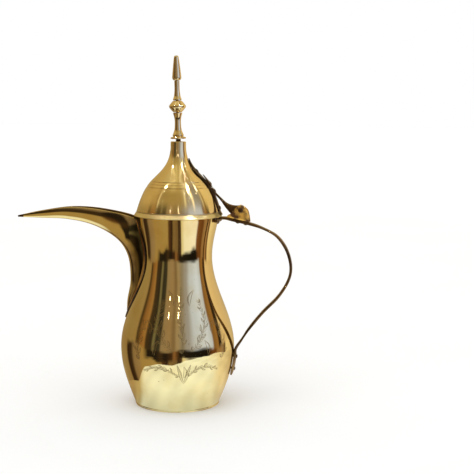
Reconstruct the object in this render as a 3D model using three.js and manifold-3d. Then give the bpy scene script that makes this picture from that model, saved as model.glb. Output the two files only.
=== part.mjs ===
// A brass dallah: a tall Arabic coffee pot with a beak spout, a strip handle and a domed lid that
// swings up on a hinge standing on the handle.
// Millimetres, +Z up. The origin is the middle of the flat base, the spout points along -X and the
// handle along +X, and the XZ plane is the pot's plane of symmetry.

import * as THREE from "three";
import { mergeVertices } from "three/addons/utils/BufferGeometryUtils.js";
import Module from "manifold-3d";

const wasm = await Module();
wasm.setup();

// ---------------------------------------------------------------- driving dimensions

const GAP = 0.3; // clearance kept between pieces that are brazed, pressed or resting together
const WALL = 1.1; // raised sheet of the body and the lid
const ROUND = 44; // facets round the pot
const SMALL_ROUND = 12; // facets round a finial, pin or rivet

const BASE_R = 41.5;
const BELLY_R = 55.7;
const BELLY_Z = 57;
const WAIST_R = 33.5;
const WAIST_Z = 147;
const MOUTH_R = 39.9;
const MOUTH_Z = 185.6;
const LAP = 5; // how far one half of the body reaches up inside the other

const LID_R = 43;
const LID_Z = 186;
const BEZEL_Z = 190;
const SHOULDER_R = 25;
const SHOULDER_Z = 221;
const NECK_R = 7.5;
const NECK_TOP = 257.8;
const COLLAR_R = 34.6;
const COLLAR_DEPTH = 5.6;

const TOP_Z = 340;
const STUD_R = 2.6;
const ROD_R = 1.4; // the thinner length of the stud, inside the finial
const LEAN = -1.6; // degrees that the finial leans towards the spout
const LEAN_Z = 257;

const STRAP_T = 1.2;
const STRAP_HALF = 4.6;
const LEAF_HALF = 6.5;
const STRAP_LOW = 187;
const STRAP_TOP = 241.5;

const HINGE_X = 61.5;
const HINGE_Z = 192.6;
const PIN_R = 1.5;
const EYE_R = 4.2;
const LEVER_HALF = 3.3;
const CHEEK_IN = 3.7; // inner face of a hinge cheek, from the plane of symmetry
const CHEEK_OUT = 5.4;
const WEB_T = 1.4; // the floor that joins the cheeks

const HANDLE_T = 2.8;
const HANDLE_THIN = 2; // its thickness over the bow and just above the tail
const HANDLE_HALF = 4.5;
const TAIL_GAP = GAP + 0.2; // between the belly and the handle's tail
const SADDLE_R = 41.2;
const SADDLE_HALF = 14;
const SADDLE_LOW = 180.8;
const SADDLE_TOP = 185.3;
const KNOB_R = 2.6; // round heads of the two rivets through the saddle
const KNOB_H = 2.4;
const KNOB_Z = 182.2;
const KNOB_ANGLE = 0.3; // radians either side of the handle

const SPOUT_WALL = 1.1;
const FLANGE_T = 1;
const FLANGE_REACH = 3.6;
const HOLE_R = 2.3; // strainer holes behind the spout

const RIVET_R = 1.2;
const RIVET_HEAD = 2;
const RIVET_RISE = 0.7;
const FOOT_T = 1; // feet of the lever and the thumb tab, where they lie on the strap
const STRAP_FACE = GAP + STRAP_T; // outer face of the strap, from the lid's surface
const FOOT_FACE = STRAP_FACE + GAP + FOOT_T;

// ---------------------------------------------------------------- materials

const metal = (color, roughness) =>
  new THREE.MeshStandardMaterial({ color, roughness, metalness: 1 });

const polished = () => metal(0xd6a94e, 0.08);
const satin = () => metal(0xcda04c, 0.22);
const turned = () => metal(0xb08d4a, 0.3);
const tarnished = () => metal(0x6e4f26, 0.35);

// ---------------------------------------------------------------- solids

const v2 = (x, y) => new THREE.Vector2(x, y);
const v3 = (x, y, z) => new THREE.Vector3(x, y, z);

function manifoldOf(positions, triangles) {
  return new wasm.Manifold(
    new wasm.Mesh({
      numProp: 3,
      vertProperties: positions,
      triVerts: new Uint32Array(triangles),
    }),
  );
}

// A closed geometry as a solid, with its faces turned outwards.
function solidOf(geometry) {
  const bare = geometry.clone();
  bare.deleteAttribute("normal");
  bare.deleteAttribute("uv");
  const merged = mergeVertices(bare, 1e-4);
  const index = merged.index.array;
  const positions = merged.attributes.position.array;
  const outward = [];
  const inward = [];
  for (let i = 0; i < index.length; i += 3) {
    const [a, b, c] = index.slice(i, i + 3);
    if (a === b || b === c || c === a) continue;
    outward.push(a, b, c);
    inward.push(a, c, b);
  }
  const made = manifoldOf(positions, outward);
  return made.volume() > 0 ? made : manifoldOf(positions, inward);
}

function geometryOf(solid) {
  const mesh = solid.getMesh();
  const geometry = new THREE.BufferGeometry();
  const positions = new THREE.BufferAttribute(new Float32Array(mesh.vertProperties), mesh.numProp);
  geometry.setAttribute("position", positions);
  geometry.setIndex(new THREE.BufferAttribute(new Uint32Array(mesh.triVerts), 1));
  geometry.computeVertexNormals();
  return geometry;
}

// A profile of (radius, height) points turned about the Z axis.
function turn(profile, segments = ROUND) {
  const first = profile[0];
  const last = profile[profile.length - 1];
  const onAxis = first.x === 0 && last.x === 0;
  const outline = onAxis ? profile : [...profile, first.clone()];
  return solidOf(new THREE.LatheGeometry(outline, segments).rotateX(Math.PI / 2));
}

// A closed (x, z) outline made into a plate that lies between y = -half and y = half.
function plateXZ(outline, half) {
  const options = { depth: 2 * half, bevelEnabled: false };
  const geometry = new THREE.ExtrudeGeometry(new THREE.Shape(outline), options);
  return solidOf(geometry.translate(0, 0, -half).rotateX(Math.PI / 2));
}

// A closed (y, z) outline pushed along X from one place to another.
function prismYZ(outline, from, to) {
  const options = { depth: to - from, bevelEnabled: false };
  const geometry = new THREE.ExtrudeGeometry(new THREE.Shape(outline), options);
  const axes = new THREE.Matrix4().makeBasis(v3(0, 1, 0), v3(0, 0, 1), v3(1, 0, 0));
  return solidOf(geometry.translate(0, 0, from).applyMatrix4(axes));
}

// Rings of points skinned one to the next, with a flat cap on the first and the last.
function loft(rings) {
  const count = rings[0].length;
  const positions = rings.flat().flatMap((p) => [p.x, p.y, p.z]);
  const index = [];
  for (let r = 0; r + 1 < rings.length; r++) {
    for (let i = 0; i < count; i++) {
      const a = r * count + i;
      const b = r * count + ((i + 1) % count);
      index.push(a, b, a + count, b, b + count, a + count);
    }
  }
  const last = (rings.length - 1) * count;
  for (let i = 1; i + 1 < count; i++) {
    index.push(0, i + 1, i);
    index.push(last, last + i, last + i + 1);
  }
  const geometry = new THREE.BufferGeometry();
  geometry.setAttribute("position", new THREE.Float32BufferAttribute(positions, 3));
  geometry.setIndex(index);
  return solidOf(geometry);
}

// The placement that takes +Z to a direction and the origin to a point.
function placed(point, direction) {
  const turnTo = new THREE.Quaternion().setFromUnitVectors(v3(0, 0, 1), direction);
  return new THREE.Matrix4().compose(point, turnTo, v3(1, 1, 1));
}

function rod(point, direction, radius, from, to) {
  const outline = [v2(0, from), v2(radius, from), v2(radius, to), v2(0, to)];
  const segments = SMALL_ROUND;
  const geometry = new THREE.LatheGeometry(outline, segments).rotateX(Math.PI / 2);
  return solidOf(geometry.applyMatrix4(placed(point, direction)));
}

// ---------------------------------------------------------------- curves

const bezier = (a, b, c, d, steps) => new THREE.CubicBezierCurve(a, b, c, d).getPoints(steps);

// The same line moved sideways: outwards for a profile that runs up the pot.
function offset(points, distance) {
  const distanceAt = typeof distance === "function" ? distance : () => distance;
  return points.map((p, i) => {
    const d = distanceAt(i / (points.length - 1));
    const before = points[Math.max(i - 1, 0)];
    const after = points[Math.min(i + 1, points.length - 1)];
    const along = after.clone().sub(before).normalize();
    return v2(p.x + along.y * d, p.y - along.x * d);
  });
}

function radiusAt(profile, z) {
  for (let i = 0; i + 1 < profile.length; i++) {
    const low = profile[i];
    const high = profile[i + 1];
    if (z >= low.y && z <= high.y) {
      return low.x + ((high.x - low.x) * (z - low.y)) / (high.y - low.y);
    }
  }
  throw new Error("no point of the profile is at height " + z);
}

// A point on a turned surface in the plane of symmetry, turned by an angle about the axis, and
// the direction that points out of the surface there.
function surfaceSpot(profile, z, angle, out = 0) {
  const low = radiusAt(profile, z - 1);
  const high = radiusAt(profile, z + 1);
  const normal = v2(2, low - high).normalize();
  const radius = radiusAt(profile, z) + out * normal.x;
  const about = v3(0, 0, 1);
  return {
    point: v3(radius, 0, z + out * normal.y).applyAxisAngle(about, angle),
    direction: v3(normal.x, 0, normal.y).applyAxisAngle(about, angle),
  };
}

const bellyCurve = bezier(
  v2(BASE_R, 1.8),
  v2(BASE_R + 4.6, 14.6),
  v2(BELLY_R, BELLY_Z - 23),
  v2(BELLY_R, BELLY_Z),
  6,
);
const flankCurve = bezier(
  v2(BELLY_R, BELLY_Z),
  v2(BELLY_R, BELLY_Z + 33),
  v2(WAIST_R, WAIST_Z - 33.5),
  v2(WAIST_R, WAIST_Z),
  8,
);
const throatCurve = bezier(
  v2(WAIST_R, WAIST_Z),
  v2(WAIST_R, WAIST_Z + 12),
  v2(MOUTH_R - 3, MOUTH_Z - 14.6),
  v2(MOUTH_R, MOUTH_Z),
  5,
);
const bodyCurve = [...bellyCurve, ...flankCurve.slice(1), ...throatCurve.slice(1)];

const domeCurve = bezier(
  v2(LID_R - 2.4, BEZEL_Z),
  v2(38, 198.8),
  v2(33.7, 212.5),
  v2(SHOULDER_R, SHOULDER_Z),
  5,
);
const onionCurve = bezier(
  v2(SHOULDER_R, SHOULDER_Z),
  v2(15.8, 230.2),
  v2(NECK_R + 1, 236),
  v2(NECK_R, 252),
  7,
);
const lidCurve = [v2(LID_R, LID_Z), ...domeCurve, ...onionCurve.slice(1), v2(NECK_R, NECK_TOP)];

// The body filled in, a little fat, for cutting the pieces that lie against it.
function bodyCore() {
  const skin = offset(bodyCurve, GAP);
  return turn([v2(0, -1), v2(skin[0].x, -1), ...skin, v2(skin.at(-1).x, 187), v2(0, 187)]);
}

// ---------------------------------------------------------------- rivets

// A rivet holds pieces of a total thickness `grip`; `spot` is on the outermost face.
function rivet(spot, grip, headR = RIVET_HEAD, headH = RIVET_RISE) {
  const tail = -grip - GAP;
  const outline = [
    v2(0, tail - 0.8),
    v2(1.2, tail - 0.7),
    v2(1.8, tail),
    v2(RIVET_R, tail),
    v2(RIVET_R, GAP),
    v2(headR, GAP),
    v2(headR * 0.85, GAP + headH * 0.5),
    v2(headR * 0.5, GAP + headH * 0.88),
    v2(0, GAP + headH),
  ];
  const geometry = new THREE.LatheGeometry(outline, 10).rotateX(Math.PI / 2);
  return solidOf(geometry.applyMatrix4(placed(spot.point, spot.direction)));
}

const rivetHole = (spot) => rod(spot.point, spot.direction, RIVET_R + GAP, -9, 3);

const handleRivets = [48, 36].map((z) => surfaceSpot(bodyCurve, z, 0, TAIL_GAP + HANDLE_T));
const saddleRivets = [-1, 1].map((side) => {
  const outward = v3(Math.cos(KNOB_ANGLE), side * Math.sin(KNOB_ANGLE), 0);
  return { point: outward.clone().multiplyScalar(SADDLE_R).setZ(KNOB_Z), direction: outward };
});
const strapRivets = [229, 194].map((z) => surfaceSpot(lidCurve, z, 0, STRAP_FACE));
const leverRivetSpot = surfaceSpot(lidCurve, 209.5, 0, FOOT_FACE);
const thumbRivetSpot = surfaceSpot(lidCurve, 216.4, 0, FOOT_FACE);

// ---------------------------------------------------------------- body

function lowerBody() {
  const inside = offset(bellyCurve, -WALL);
  const lapSkin = offset(flankCurve.slice(0, 3), -WALL - GAP);
  const lapTop = BELLY_Z + LAP;
  const lap = [v2(radiusAt(lapSkin, lapTop), lapTop), v2(lapSkin[0].x, BELLY_Z - 1)];
  const outside = [...bellyCurve.slice(0, -1), v2(BELLY_R, BELLY_Z - GAP)];
  const lapInner = [v2(lap[1].x - WALL, BELLY_Z - 1), v2(lap[0].x - WALL, lapTop)];
  const shell = turn([
    ...outside,
    v2(lap[1].x, BELLY_Z - GAP),
    lap[0],
    lapInner[1],
    lapInner[0],
    v2(BELLY_R - WALL, BELLY_Z - 3.5),
    ...inside.slice(0, -1).reverse(),
  ]);
  return handleRivets.reduce((solid, spot) => solid.subtract(rivetHole(spot)), shell);
}

// Rows of strainer holes where the spout covers the neck.
function strainerHoles() {
  const rows = [
    { z: 120, places: [0] },
    { z: 129, places: [-1, 1] },
    { z: 138, places: [-2, 0, 2] },
    { z: 147, places: [-1, 1] },
    { z: 156, places: [0] },
  ];
  const spacing = 0.14; // radians between neighbouring places
  return rows.flatMap(({ z, places }) =>
    places.map((place) => {
      const angle = Math.PI + place * spacing;
      const outward = v3(Math.cos(angle), Math.sin(angle), 0);
      return rod(v3(0, 0, z), outward, HOLE_R, 24, 48);
    }),
  );
}

function upperBody() {
  const outside = [...flankCurve, ...throatCurve.slice(1)];
  const inside = offset(outside, -WALL);
  inside.at(-1).y = MOUTH_Z;
  inside[0].y = BELLY_Z;
  const shell = turn([...outside, ...inside.reverse()]);
  const cuts = [...strainerHoles(), ...saddleRivets.map(rivetHole)];
  return cuts.reduce((solid, cut) => solid.subtract(cut), shell);
}

// The bottom: a flat disc with an upturned rim that stands inside the body wall.
function basePlate() {
  const rimOut = BASE_R - WALL - GAP;
  const outline = [
    v2(0, 0),
    v2(BASE_R - 1.2, 0),
    v2(BASE_R, 0.5),
    v2(BASE_R, 1.5),
    v2(rimOut, 1.5),
    v2(rimOut, 7),
    v2(rimOut - WALL, 7),
    v2(rimOut - WALL, 1.6),
    v2(0, 1.6),
  ];
  return turn(outline);
}

// The wire that stiffens the edge of the mouth, laid inside it.
function rimWire() {
  const wireR = 0.6;
  const ring = new THREE.TorusGeometry(MOUTH_R - WALL - wireR - 0.9, wireR, 8, ROUND);
  return solidOf(ring.translate(0, 0, MOUTH_Z - wireR - 0.1));
}

// ---------------------------------------------------------------- spout

// Stations along the spout, from its foot on the belly to its tip: the keel, the open edge
// and half the width there. The first edges lie inside the body, which trims them.
const spoutStations = [
  { keel: v2(-50.5, 76), edge: v2(-28, 76), half: 3 },
  { keel: v2(-50.3, 100), edge: v2(-27, 108), half: 13 },
  { keel: v2(-46.9, 122), edge: v2(-24, 136), half: 16 },
  { keel: v2(-49.7, 146), edge: v2(-24, 163), half: 15 },
  { keel: v2(-61.3, 162.5), edge: v2(-39, 181.7), half: 9.4 },
  { keel: v2(-84, 175), edge: v2(-72, 190.2), half: 8.6 },
  { keel: v2(-110, 180.5), edge: v2(-104, 192.5), half: 6.2 },
  { keel: v2(-136, 181.2), edge: v2(-134, 188.5), half: 3.6 },
  { keel: v2(-159.4, 181.7), edge: v2(-159.4, 183), half: 0.7 },
];
const keelCurve = new THREE.SplineCurve(spoutStations.map((s) => s.keel));
const edgeCurve = new THREE.SplineCurve(spoutStations.map((s) => s.edge));
const widthCurve = new THREE.SplineCurve(spoutStations.map((s, i) => v2(i, s.half)));

// A half-round section of the spout at t, fattened by `grow` and raised past its edge by `raise`.
function spoutRing(t, grow, raise) {
  const keel = keelCurve.getPoint(t);
  const edge = edgeCurve.getPoint(t);
  const up = edge.clone().sub(keel);
  const depth = up.length() + grow;
  up.normalize();
  const half = Math.max(widthCurve.getPoint(t).y + grow, 0.25);
  const ring = [];
  const steps = 12;
  for (let i = 0; i <= steps; i++) {
    const angle = Math.PI * (i / steps - 0.5);
    const down = depth * Math.cos(angle);
    ring.push(v3(edge.x - up.x * down, half * Math.sin(angle), edge.y - up.y * down));
  }
  if (raise > 0) {
    ring.push(v3(edge.x + up.x * raise, half, edge.y + up.y * raise));
    ring.push(v3(edge.x + up.x * raise, -half, edge.y + up.y * raise));
  }
  return ring;
}

function spoutForm(grow, raise, from, to) {
  const steps = 22;
  const rings = [];
  for (let i = 0; i <= steps; i++) {
    rings.push(spoutRing(from + ((to - from) * i) / steps, grow, raise));
  }
  return loft(rings);
}

function spout() {
  const skin = bodyCurve.filter((p) => p.y > 70);
  const near = offset(skin, GAP);
  const far = offset(skin, GAP + FLANGE_T);
  const flange = turn([...far, ...near.reverse()]).intersect(spoutForm(FLANGE_REACH, 0, 0, 0.58));
  const trough = spoutForm(0, 0, 0, 1).add(flange);
  return trough.subtract(spoutForm(-SPOUT_WALL, 6, 0, 0.965)).subtract(bodyCore());
}

// ---------------------------------------------------------------- handle

// The middle of the strip where its tail lies against the belly.
function besideBelly(z) {
  const { point } = surfaceSpot(bodyCurve, z, 0, GAP + HANDLE_T / 2 + 0.1);
  return v2(point.x, point.z);
}

const handleLine = new THREE.SplineCurve([
  v2(SADDLE_R + GAP, 184.2),
  v2(47, 184.2),
  v2(54, 182.5),
  v2(69.5, 179.2),
  v2(82.7, 175),
  v2(96.8, 167.3),
  v2(106.4, 154),
  v2(110.6, 138),
  v2(108.4, 124.3),
  v2(98.9, 108.3),
  v2(83.8, 92.2),
  v2(70.9, 76.1),
  v2(63.4, 64.5),
  ...[55, 47, 38, 29.5].map(besideBelly),
]).getPoints(42);

// A point on the bracket's web, above the strip's middle line at x.
function webSpot(x) {
  const next = handleLine.findIndex((p) => p.x > x);
  const a = handleLine[next - 1];
  const b = handleLine[next];
  const along = b.clone().sub(a).normalize();
  const z = a.y + ((b.y - a.y) * (x - a.x)) / (b.x - a.x);
  const out = HANDLE_T / 2 + GAP + WEB_T;
  return {
    point: v3(x - along.y * out, 0, z + along.x * out),
    direction: v3(-along.y, 0, along.x),
  };
}

const bracketRivets = [58.5, 66.2].map(webSpot);

// Half the strip's thickness at a share of its length: it is drawn thinner in two places.
function handleHalf(share) {
  const drawn = [
    { middle: 0.27, reach: 0.085 },
    { middle: 0.735, reach: 0.075 },
  ].map(({ middle, reach }) => {
    const away = Math.min(1, Math.abs(share - middle) / reach);
    return (1 + Math.cos(Math.PI * away)) / 2;
  });
  return (HANDLE_T - (HANDLE_T - HANDLE_THIN) * (drawn[0] + drawn[1])) / 2;
}

function handle() {
  const outer = offset(handleLine, (share) => -handleHalf(share));
  const inner = offset(handleLine, handleHalf).reverse();
  const strip = plateXZ([...outer, ...inner], HANDLE_HALF).subtract(bodyCore());
  const holes = [...handleRivets, ...bracketRivets].map(rivetHole);
  return holes.reduce((solid, hole) => solid.subtract(hole), strip);
}

// The curved block under the lid's rim that carries the handle.
function handleSaddle() {
  const band = turn([
    v2(MOUTH_R - 6, SADDLE_LOW),
    v2(SADDLE_R, SADDLE_LOW),
    v2(SADDLE_R, SADDLE_TOP),
    v2(MOUTH_R - 6, SADDLE_TOP),
  ]);
  const window = [
    v2(-SADDLE_HALF, 150),
    v2(SADDLE_HALF, 150),
    v2(SADDLE_HALF, 200),
    v2(-SADDLE_HALF, 200),
  ];
  const saddle = band.intersect(prismYZ(window, 20, 60)).subtract(bodyCore());
  return saddleRivets.reduce((solid, spot) => solid.subtract(rivetHole(spot)), saddle);
}

// ---------------------------------------------------------------- hinge

// The dome-shaped pair of cheeks on the handle, joined by a web that is riveted to it.
function hingeBracket() {
  const above = offset(handleLine, -HANDLE_T / 2 - GAP).filter((p) => p.y > WAIST_Z);
  const foot = above.filter((p) => p.x > 47.5 && p.x < 71);
  const dome = new THREE.SplineCurve([
    v2(70.4, 182.2),
    v2(69.6, 187.5),
    v2(67.6, 193),
    v2(61.6, 197),
    v2(56.4, 194.6),
    v2(53, 189.6),
    v2(48, 186.6),
  ]).getPoints(18);
  const cheeks = plateXZ([...foot, ...dome], CHEEK_OUT);
  const web = offset(foot, -WEB_T);
  const over = [v2(75, web.at(-1).y), v2(75, 205), v2(40, 205), v2(40, web[0].y)];
  const slot = plateXZ([...web, ...over], CHEEK_IN);
  const pivot = v3(HINGE_X, 0, HINGE_Z);
  const bore = rod(pivot, v3(0, 1, 0), PIN_R + GAP, -9, 9);
  const cuts = [slot, bore, ...bracketRivets.map(rivetHole)];
  return cuts.reduce((solid, cut) => solid.subtract(cut), cheeks);
}

function hingePin() {
  const end = CHEEK_OUT + GAP;
  const outline = [
    v2(0, -end - 0.9),
    v2(1.6, -end - 0.7),
    v2(2.3, -end),
    v2(PIN_R, -end),
    v2(PIN_R, end),
    v2(2.3, end),
    v2(1.6, end + 0.7),
    v2(0, end + 0.9),
  ];
  const geometry = new THREE.LatheGeometry(outline, SMALL_ROUND).rotateX(Math.PI / 2);
  const pivot = v3(HINGE_X, 0, HINGE_Z);
  return solidOf(geometry.applyMatrix4(placed(pivot, v3(0, 1, 0))));
}

// A band that lies on the lid between two distances from its surface, inside a (y, z) outline.
function bandOnLid(from, to, outline) {
  const skin = lidCurve.slice(1, -1);
  const low = v2(LID_R, LID_Z);
  const shape = [low, ...skin];
  const band = turn([...offset(shape, to), ...offset(shape, from).reverse()]);
  return band.intersect(prismYZ(outline, 3, 60));
}

// The strap down the back of the lid, which ends above in a broad leaf.
function lidStrap() {
  const side = new THREE.SplineCurve([
    v2(STRAP_HALF, STRAP_LOW),
    v2(STRAP_HALF, 205),
    v2(STRAP_HALF, 219),
    v2(LEAF_HALF, 227),
    v2(LEAF_HALF * 0.6, 234),
    v2(0.6, STRAP_TOP),
  ]).getPoints(15);
  const mirrored = side.map((p) => v2(-p.x, p.y)).reverse();
  const strap = bandOnLid(GAP, STRAP_FACE, [...side, ...mirrored]);
  const holes = [...strapRivets, leverRivetSpot, thumbRivetSpot].map(rivetHole);
  return holes.reduce((solid, hole) => solid.subtract(hole), strap);
}

// The arm from the strap to the hinge: a flat foot on the strap and a blade that widens to the
// eye round the pin.
function hingeLever() {
  const footOutline = [v2(-3.6, 205.4), v2(3.6, 205.4), v2(3.6, 212.6), v2(-3.6, 212.6)];
  const foot = bandOnLid(STRAP_FACE + GAP, FOOT_FACE, footOutline);
  const upper = new THREE.SplineCurve([
    v2(36.8, 209.2),
    v2(43, 203.2),
    v2(48.1, 199),
    v2(54, 197),
    v2(61, HINGE_Z + EYE_R),
  ]).getPoints(10);
  const lower = new THREE.SplineCurve([
    v2(58.6, HINGE_Z - EYE_R + 1),
    v2(53.5, 187.4),
    v2(47.2, 193.6),
    v2(42, 200.8),
    v2(36.8, 206.4),
  ]).getPoints(10);
  const blade = plateXZ([...lower, ...upper], LEVER_HALF);
  const pivot = v3(HINGE_X, 0, HINGE_Z);
  const across = v3(0, 1, 0);
  const eye = rod(pivot, across, EYE_R, -LEVER_HALF, LEVER_HALF);
  const bore = rod(pivot, across, PIN_R + GAP, -9, 9);
  return blade.add(eye).add(foot).subtract(bore).subtract(rivetHole(leverRivetSpot));
}

// The thumb piece: a pointed tab on the strap, free at its upper end.
function thumbTab() {
  const footOutline = [v2(-3.4, 213.2), v2(3.4, 213.2), v2(3.4, 220), v2(-3.4, 220)];
  const foot = bandOnLid(STRAP_FACE + GAP, FOOT_FACE, footOutline);
  const root = surfaceSpot(lidCurve, 219, 0, STRAP_FACE + GAP);
  const outward = v2(root.direction.x, root.direction.z);
  const upward = v2(-outward.y, outward.x);
  const at = (along, out) => v2(
    root.point.x + upward.x * along + outward.x * out,
    root.point.z + upward.y * along + outward.y * out,
  );
  const tab = plateXZ([at(-1, 0.1), at(-1, 1.2), at(5, 1.4), at(7.4, 1.1), at(5, 0.2)], 3.4);
  return foot.add(tab).subtract(rivetHole(thumbRivetSpot));
}

// ---------------------------------------------------------------- lid

function lid() {
  const inside = offset(lidCurve, -WALL);
  const crown = NECK_TOP - 1.4;
  const hollow = [v2(LID_R - WALL, LID_Z), ...inside.slice(1, -1), v2(NECK_R - WALL, crown)];
  const shell = turn([
    ...lidCurve,
    v2(STUD_R + GAP, NECK_TOP),
    v2(STUD_R + GAP, crown),
    ...hollow.reverse(),
  ]);
  const holes = [...strapRivets, leverRivetSpot, thumbRivetSpot].map(rivetHole);
  return holes.reduce((solid, hole) => solid.subtract(hole), shell);
}

// The seat ring inside the lid's edge, with the collar that drops into the mouth.
function lidCollar() {
  const seatR = LID_R - WALL - GAP - 1;
  const thick = 1.1;
  return turn([
    v2(COLLAR_R, LID_Z - COLLAR_DEPTH),
    v2(COLLAR_R, LID_Z),
    v2(seatR, LID_Z),
    v2(seatR, LID_Z + thick),
    v2(COLLAR_R - thick, LID_Z + thick),
    v2(COLLAR_R - thick, LID_Z - COLLAR_DEPTH),
  ]);
}

// ---------------------------------------------------------------- finial

function finialStud() {
  return turn(
    [
      v2(0, 249.4),
      v2(STUD_R, 249.4),
      v2(STUD_R, 260.1),
      v2(ROD_R, 260.1),
      v2(ROD_R, 321),
      v2(0, 321),
    ],
    SMALL_ROUND,
  );
}

function finialNut() {
  const hexagon = turn([v2(0, 251.4), v2(5, 251.4), v2(5, 254.8), v2(0, 254.8)], 6);
  return hexagon.subtract(rod(v3(0, 0, 0), v3(0, 0, 1), STUD_R + GAP, 250, 256));
}

function finialWasher() {
  const outline = [v2(STUD_R + GAP, 255.1), v2(5.4, 255.1), v2(5.4, 256.1), v2(STUD_R + GAP, 256.1)];
  return turn(outline, SMALL_ROUND);
}

// A turned piece threaded on the stud: its outline runs up the outside.
function turnedPiece(outside) {
  const bore = ROD_R + GAP;
  const segments = 16;
  return turn([v2(bore, outside[0].y), ...outside, v2(bore, outside.at(-1).y)], segments);
}

// Base disc, lower spindle and collar.
function finialBase() {
  const spindle = new THREE.SplineCurve([
    v2(5.2, 264.6),
    v2(3.6, 269),
    v2(3, 274.5),
    v2(3.2, 280),
    v2(4.3, 284.4),
  ]).getPoints(9);
  const disc = [v2(7, 260.4), v2(7.5, 261), v2(7.4, 262), v2(5.1, 262.8)];
  return turnedPiece([...disc, ...spindle, v2(4.2, 285.6)]);
}

// The diamond-shaped bead.
function finialBead() {
  return turnedPiece([
    v2(3.9, 285.9),
    v2(5.2, 287.2),
    v2(7.7, 290.4),
    v2(8.1, 291.5),
    v2(7.7, 292.6),
    v2(5.2, 295.8),
    v2(3.9, 297.2),
  ]);
}

function finialSpindle() {
  const waist = new THREE.SplineCurve([
    v2(4.1, 298.6),
    v2(3.1, 302),
    v2(2.5, 308),
    v2(2.5, 316.2),
  ]).getPoints(9);
  return turnedPiece([v2(4, 297.5), ...waist]);
}

function finialTip() {
  const bore = ROD_R + GAP;
  const outline = [
    v2(bore, 316.5),
    v2(2.9, 316.5),
    v2(4.1, 317.7),
    v2(4.4, 319.4),
    v2(4.1, 322.5),
    v2(3.3, 330),
    v2(2.2, 338.2),
    v2(1.2, TOP_Z - 0.4),
    v2(0, TOP_Z),
    v2(0, 321.4),
    v2(bore, 321.4),
  ];
  const geometry = new THREE.LatheGeometry([...outline, outline[0].clone()], 16);
  return solidOf(geometry.rotateX(Math.PI / 2));
}

// ---------------------------------------------------------------- assembly

const pot = new THREE.Group();
pot.name = "pot";
const lidGroup = new THREE.Group();
lidGroup.name = "lid_group";
lidGroup.position.set(HINGE_X, 0, HINGE_Z);
pot.add(lidGroup);

function addTo(group, name, solid, material) {
  const mesh = new THREE.Mesh(geometryOf(solid), material);
  mesh.name = name;
  mesh.position.copy(group.position).negate();
  group.add(mesh);
}

addTo(pot, "lower_body", lowerBody(), polished());
addTo(pot, "upper_body", upperBody(), polished());
addTo(pot, "base_plate", basePlate(), polished());
addTo(pot, "rim_wire", rimWire(), satin());
addTo(pot, "spout", spout(), polished());
addTo(pot, "handle", handle(), tarnished());
addTo(pot, "handle_saddle", handleSaddle(), tarnished());
addTo(pot, "hinge_bracket", hingeBracket(), tarnished());
addTo(pot, "hinge_pin", hingePin(), tarnished());

const handleGrip = HANDLE_T + TAIL_GAP + WALL;
addTo(pot, "handle_rivet_upper", rivet(handleRivets[0], handleGrip), tarnished());
addTo(pot, "handle_rivet_lower", rivet(handleRivets[1], handleGrip), tarnished());
const saddleGrip = SADDLE_R - radiusAt(bodyCurve, KNOB_Z) + WALL + 0.5;
addTo(pot, "saddle_rivet_near", rivet(saddleRivets[0], saddleGrip, KNOB_R, KNOB_H), tarnished());
addTo(pot, "saddle_rivet_far", rivet(saddleRivets[1], saddleGrip, KNOB_R, KNOB_H), tarnished());
const bracketGrip = HANDLE_T + WEB_T + GAP;
addTo(pot, "bracket_rivet_front", rivet(bracketRivets[0], bracketGrip), tarnished());
addTo(pot, "bracket_rivet_rear", rivet(bracketRivets[1], bracketGrip), tarnished());

addTo(lidGroup, "lid", lid(), satin());
addTo(lidGroup, "lid_collar", lidCollar(), satin());
addTo(lidGroup, "lid_strap", lidStrap(), tarnished());
addTo(lidGroup, "hinge_lever", hingeLever(), tarnished());
addTo(lidGroup, "thumb_tab", thumbTab(), tarnished());

const strapGrip = STRAP_T + GAP + WALL;
const stackGrip = strapGrip + FOOT_T + GAP;
addTo(lidGroup, "strap_rivet_upper", rivet(strapRivets[0], strapGrip), tarnished());
addTo(lidGroup, "strap_rivet_lower", rivet(strapRivets[1], strapGrip), tarnished());
addTo(lidGroup, "lever_rivet", rivet(leverRivetSpot, stackGrip), tarnished());
addTo(lidGroup, "thumb_rivet", rivet(thumbRivetSpot, stackGrip), tarnished());

const leaning = (solid) =>
  solid.translate([0, 0, -LEAN_Z]).rotate([0, LEAN, 0]).translate([0, 0, LEAN_Z]);
addTo(lidGroup, "finial_stud", leaning(finialStud()), turned());
addTo(lidGroup, "finial_nut", leaning(finialNut()), turned());
addTo(lidGroup, "finial_washer", leaning(finialWasher()), turned());
addTo(lidGroup, "finial_base", leaning(finialBase()), turned());
addTo(lidGroup, "finial_bead", leaning(finialBead()), turned());
addTo(lidGroup, "finial_spindle", leaning(finialSpindle()), turned());
addTo(lidGroup, "finial_tip", leaning(finialTip()), turned());

export default pot;
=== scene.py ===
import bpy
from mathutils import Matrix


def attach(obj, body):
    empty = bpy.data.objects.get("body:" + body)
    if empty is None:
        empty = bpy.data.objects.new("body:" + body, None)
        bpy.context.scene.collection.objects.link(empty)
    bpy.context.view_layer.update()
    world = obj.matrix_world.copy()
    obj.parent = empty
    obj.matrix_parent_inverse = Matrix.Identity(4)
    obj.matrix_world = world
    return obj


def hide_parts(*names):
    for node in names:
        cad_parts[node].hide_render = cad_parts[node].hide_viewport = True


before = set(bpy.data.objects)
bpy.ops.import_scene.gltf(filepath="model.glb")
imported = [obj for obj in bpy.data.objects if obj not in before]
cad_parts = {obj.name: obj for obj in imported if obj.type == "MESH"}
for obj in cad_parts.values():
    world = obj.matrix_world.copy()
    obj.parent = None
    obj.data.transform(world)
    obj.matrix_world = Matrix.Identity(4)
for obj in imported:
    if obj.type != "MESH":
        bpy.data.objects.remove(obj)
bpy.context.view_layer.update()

import random
from math import asin, atan2, copysign, cos, hypot, pi, radians, sin, sqrt

import bmesh
import bpy
from mathutils import Matrix, Vector

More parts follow.
